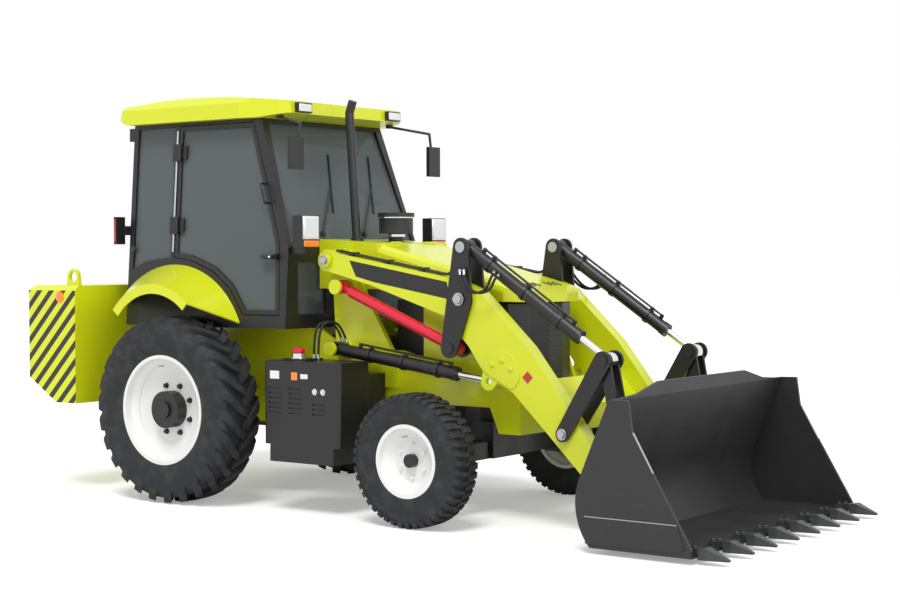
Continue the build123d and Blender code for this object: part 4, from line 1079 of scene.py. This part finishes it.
@dataclass
class Bucket:
    """The bucket's worn edges, wear plates and tooth bolts. Outlines are (ahead, up)."""

    wear: Sequence[Pair] = ((3612, 62), (4215, 62), (4285, 84), (4236, 224), (3606, 224))
    worn: Sequence[Pair] = ((3606, 224), (4236, 224), (4234, 229), (3606, 229))
    edge: Sequence[Pair] = ((3937, 748), (4317, 92), (4319, 93), (3939, 749))
    half: float = 1172.0
    teeth: int = 8
    outer_tooth: float = 1080.0
    bolts: Pair = (4262, 4305)

    def build(self) -> None:
        """Builds both cheeks' wear plates and worn edges, then the bolts of the teeth."""
        for side in Side:
            s, face = side.value, side.value * self.half
            plate = slab(self.wear, face, face + s * 6)
            show(f"bucket_{side.label}_wear_plate", plate, "bucket", "bucket", 2)
            lines = join([slab(self.worn, face, face + s * 5), slab(self.edge, face - s * 20, face - s)])
            show(f"bucket_{side.label}_worn_edges", lines, "steel", "bucket")
        rows = np.linspace(-self.outer_tooth, self.outer_tooth, self.teeth)
        spots = [surface(x, y, 600, (0, 0, -1)) for y in rows for x in self.bolts]
        show("bucket_tooth_bolts", hex_heads(spots, np.array([0, 0, 1.0]), 22, 13), "cast", "bucket")
        log.info("bucket: wear plates and bolts")


# ---- lamps and cab ----

# Lenses: name, x from and to, |y| from and to, z from and to, finish.
LENSES = (
    ("headlamp_{}_lens", 1088, 1100, 680, 834, 1922, 2072, "clear"),
    ("headlamp_{}_rim", 1086, 1093, 671, 843, 1914, 2080, "chrome"),
    ("indicator_{}_lens", 1088, 1102, 676, 838, 1862, 1906, "orange"),
    ("roof_lamp_{}_lens", 838, 847, 455, 590, 2843, 2897, "clear"),
    ("rear_work_lamp_{}_lens", -899, -907, 490, 590, 2700, 2780, "clear"),
    ("tail_lamp_{}_lens", -818, -831, 768, 842, 1902, 2088, "red_lens"),
    ("tail_lamp_{}_marker", -816, -796, 848, 856, 1910, 2080, "red_lens"),
    ("mirror_{}_glass", 987, 981, 748, 872, 2420, 2632, "chrome"),
)


@dataclass
class Lamps:
    """Lenses of every lamp, and the mirrors' glass."""

    rounding_mm: float = 8.0

    def build(self) -> None:
        """Builds the lenses on both sides."""
        for side in Side:
            for name, x0, x1, y0, y1, z0, z1, finish in LENSES:
                lens = cuboid(at(x0, side.value * y0, z0), at(x1, side.value * y1, z1))
                show(name.format(side.label), lens, finish, "chassis", self.rounding_mm)
        log.info("lamps: %d lenses a side", len(LENSES))


def cushion(centre: Array, half: Point, lean: float, seams: int) -> Shell:
    """A crowned pad: a rounded block whose faces bulge, with a welt round it and sewn channels across it.

    Args:
        centre: the pad's middle.
        half: its half sizes ahead, across and up, in millimetres.
        lean: how far it is turned back about y, in degrees.
        seams: how many sewn channels cross its crown.

    Returns:
        The closed surface. Each direction d = (cos v cos u, cos v sin u, sin v) gives the point
        sign(d) |d| ** 0.42 times the half sizes. A channel pulls the crown in by 7 % and the welt stands out
        by 1.8 %.
    """
    rows, columns = 48, 96
    v = ((np.arange(rows) + 0.5) / rows * np.pi - np.pi / 2)[:, None]
    u = np.arange(columns) * 2 * np.pi / columns
    way = np.stack([np.cos(v) * np.cos(u), np.cos(v) * np.sin(u), np.sin(v) + 0 * u], -1)
    points = np.sign(way) * np.abs(way) ** 0.42
    seam = np.arange(1, seams + 1) * 2 / (seams + 1) - 1
    groove = np.exp(-(((points[..., 0, None] - seam) / 0.035) ** 2)).sum(-1)
    points[..., 2] *= 1 - 0.07 * groove * (np.abs(points[..., 2]) > 0.3)
    points[..., :2] *= 1 + 0.018 * np.exp(-((points[..., 2:] / 0.07) ** 2))
    turn = np.radians(lean)
    spin = np.array([[np.cos(turn), 0, np.sin(turn)], [0, 1, 0], [-np.sin(turn), 0, np.cos(turn)]])
    return grid(points * np.array(half) / 1000 @ spin.T + centre)


@dataclass
class Cab:
    """What the cab shows: handles, bright strips, grab rails, wipers and the seat.

    Attributes:
        rail: the grab rail's two feet, as (x, z).
        wipers: y of each wiper's hub, in millimetres.
        sweep: how far to the left of its hub a wiper's tip stands.
    """

    rail: tuple[Pair, Pair] = ((668, 2180), (622, 2320))
    wipers: Pair = (-330, 150)
    sweep: float = 250.0

    def fittings(self, side: Side) -> None:
        """The door's handle and lock, the post's bright strip and knob, and the grab rail, on one side."""
        s, door, out = side.value, f"door_{side.label}", (0, side.value, 0)
        spot = from_side(side, 717, 1791)
        handle = cuboid(spot - np.array([0.055, 0, 0.016]), spot + np.array([0.055, s * 0.026, 0.016]))
        show(f"{door}_handle", handle, "plastic", door, 5)
        lock = lathe([(0, 9), (34, 9), (36, 7)], spot + np.array([0.035, 0, 0]), out, 16)
        show(f"{door}_lock", lock, "chrome", door)
        strip = [from_side(side, -276, z) for z in (1830, 2740)]
        pipe(f"cab_{side.label}_post_strip", strip, 9, "steel", "chassis")
        knob = lathe([(0, 10), (22, 10), (24, 24), (38, 24), (42, 18)], from_side(side, -690, 1850), out, 24)
        show(f"cab_{side.label}_knob", knob, "plastic", "chassis")
        low, high = (from_side(side, *foot) for foot in self.rail)
        stand = np.array([0.012, s * 0.055, 0])
        pipe(f"cab_{side.label}_grab_rail", [low, low + stand, high + stand, high], 8, "black", door, 20)

    def wiper(self, number: int, y: float) -> None:
        """One wiper on the windscreen: its arm, blade and hub."""

        def screen(across: float, z: float, off: float) -> Array:
            """A point just ahead of the windscreen."""
            return surface(BESIDE, y + across, z, (-1, 0, 0)) + np.array([off, 0, 0])

        foot = screen(0, 1960, 0.012)
        pipe(f"wiper_{number}_arm", [foot, screen(self.sweep, 2330, 0.014)], 6, "plastic", "chassis")
        blade = [screen(self.sweep + across, z, 0.008) for across, z in ((-60, 2120), (60, 2560))]
        pipe(f"wiper_{number}_blade", blade, 7, "hose", "chassis")
        hub = lathe([(-8, 20), (12, 20), (16, 14)], foot, (1, 0, 0), 20)
        show(f"wiper_{number}_hub", hub, "plastic", "chassis")

    def seat(self) -> None:
        """The seat's plinth, and its cushion and back as padded pieces in place of the CAD seat."""
        show("seat_plinth", cuboid(at(-300, -190, 1470.5), at(110, 190, 1500)), "plastic", "chassis", 8)
        base = show("seat_cushion", cushion(at(-90, 0, 1537), (238, 238, 52), -3, 3), "cloth", "chassis")
        back = show("seat_back", cushion(at(-312, 0, 1845), (272, 228, 46), 98, 4), "cloth", "chassis")
        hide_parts("seat")

    def build(self) -> None:
        """Builds the outside fittings on both sides, then the wipers and the seat."""
        for side in Side:
            self.fittings(side)
        for number, y in enumerate(self.wipers):
            self.wiper(number, y)
        self.seat()
        log.info("cab: fittings, wipers and seat")


# ---- trim ----

NECK = ((0, 62), (5, 62), (6, 49), (34, 49), (36, 46))
CAP = ((38, 44), (40, 47), (62, 47), (70, 40), (74, 24))
LATCH = ((0, 22), (5, 22), (8, 16), (15, 16), (18, 11))
TANK_FACE, NECK_FOOT, LATCHES, LATCH_Z = -1000, (1050, -850, 1079), (1328, 1402), 862
# Blank stickers on the tank box: name, finish, x from and to, z from and to.
STICKERS = (
    ("orange", "orange", 1112, 1166, 936, 990),
    ("white_0", "rim", 1196, 1262, 948, 980),
    ("white_1", "rim", 915, 1000, 940, 996),
)
# Rims of the pre-cleaner: foot above the ground, height, inner and outer radius, facets.
RIMS = ((2071, 8, 127, 137, 48), (1935, 18, 58, 66, 36))
VENTS = (-190, -130, -70, 70, 130, 190)


@dataclass
class Trim:
    """The tank's fittings, the reflectors, the pre-cleaner's rims, the hood's vents and the cover's slats."""

    def tank(self) -> None:
        """The filler's neck and cap, the latches, the blank stickers and the step's treads."""
        neck = at(*NECK_FOOT)
        show("filler_neck", lathe(NECK, neck, (0, 0, 1), 36), "chrome", "chassis")
        show("filler_cap", lathe(CAP, neck, (0, 0, 1), 36), "red", "chassis")
        latches = [lathe(LATCH, at(x, TANK_FACE, LATCH_Z), (0, -1, 0), 24) for x in LATCHES]
        show("tank_latches", join(latches), "chrome", "chassis")
        # The orange sticker's finish carries a painted glow.
        for name, finish, x0, x1, z0, z1 in STICKERS:
            label = cuboid(at(x0, TANK_FACE - 0.8, z0), at(x1, TANK_FACE, z1))
            show(f"tank_blank_{name}", label, finish, "chassis")
        treads = [cuboid(at(x, -994, 479), at(x + 14, -720, 486)) for x in range(925, 1480, 34)]
        show("tank_step_treads", join(treads), "steel", "chassis")

    def build(self) -> None:
        """Builds each group in turn."""
        self.tank()
        for side in Side:
            spot = from_side(side, -1130, 1490)
            reflector = lathe([(0, 42), (6, 42), (9, 36)], spot, (0, side.value, 0))
            # The orange finish gives the reflectors a painted glow.
            show(f"weight_{side.label}_reflector", reflector, "orange", "chassis")
        rims = [
            lathe([(0, inner), (0, outer), (tall, outer), (tall, inner)], at(1262, 0, z), (0, 0, 1), sides)
            for z, tall, inner, outer, sides in RIMS
        ]
        show("pre_cleaner_rims", join(rims), "chrome", "chassis")
        for number, y in enumerate(VENTS):
            slot = [surface(x, y, 2300, (0, 0, -1)) for x in (2500, 2575)]
            pipe(f"hood_vent_{number}", slot, 7, "plastic", "hood")
        slats = [cuboid(at(2648, -84, z), at(2654, 84, z + 14)) for z in range(970, 1430, 34)]
        show("grille_slats", join(slats), "plastic", "chassis", 2)
        log.info("trim: tank, reflectors, rims, vents and slats")


# ---- finishes of the CAD nodes, and the whole scene ----
NODE_FINISH = {
    "lime": ("chassis_frame", "hood_cowl", "hood", "cab_roof", "fenders", "loader_arms"),
    "hazard": ("counterweight",),
    "black": (
        "front_axle", "rear_axle", "grille", "exhaust", "cab_frame", "tank_box", "fuel_tank", "door_left",
        "door_right", "knuckle_left", "knuckle_right", "track_rod", "cranks", "lift_barrels", "tilt_barrels",
        "levers", "links", "mirrors", "headlamps", "work_lamps", "tail_lamps", "rear_left_hub",
        "rear_right_hub", "front_left_hub", "front_right_hub",
    ),
    "engine": ("engine_block",),
    "plastic": ("pre_cleaner", "cab_floor", "steering_wheel", "seat"),
    "glass": ("cab_panes", "door_left_pane", "door_right_pane"),
    "red": ("tie_rods",),
    "chrome": ("lift_rods", "tilt_rods"),
    "steel": ("crank_pins", "lever_pins", "link_pins", "bucket_pins"),
    "bucket": ("bucket",),
    "cast": ("bucket_teeth",),
    "tyre": ("rear_left_tyre", "rear_right_tyre", "front_left_tyre", "front_right_tyre"),
    "rim": ("rear_left_rim", "rear_right_rim", "front_left_rim", "front_right_rim"),
}


def dress_nodes() -> None:
    """Gives every CAD node the material of its finish."""
    for finish, nodes in NODE_FINISH.items():
        for node in nodes:
            mesh = bpy.data.objects[node].data
            mesh.materials.clear()
            mesh.materials.append(FINISH[finish])
            log.info("node %s: %s", node, finish)


def main() -> None:
    """Builds the studio, then each sub-assembly in order."""
    Studio().build()
    dress_nodes()
    wheels = [Wheel(size, side) for size in WHEELS for side in Side]
    for assembly in (*wheels, *(Loader(side) for side in Side), Bucket(), Lamps(), Cab(), Trim()):
        assembly.build()


if __name__ == "__main__":
    main()
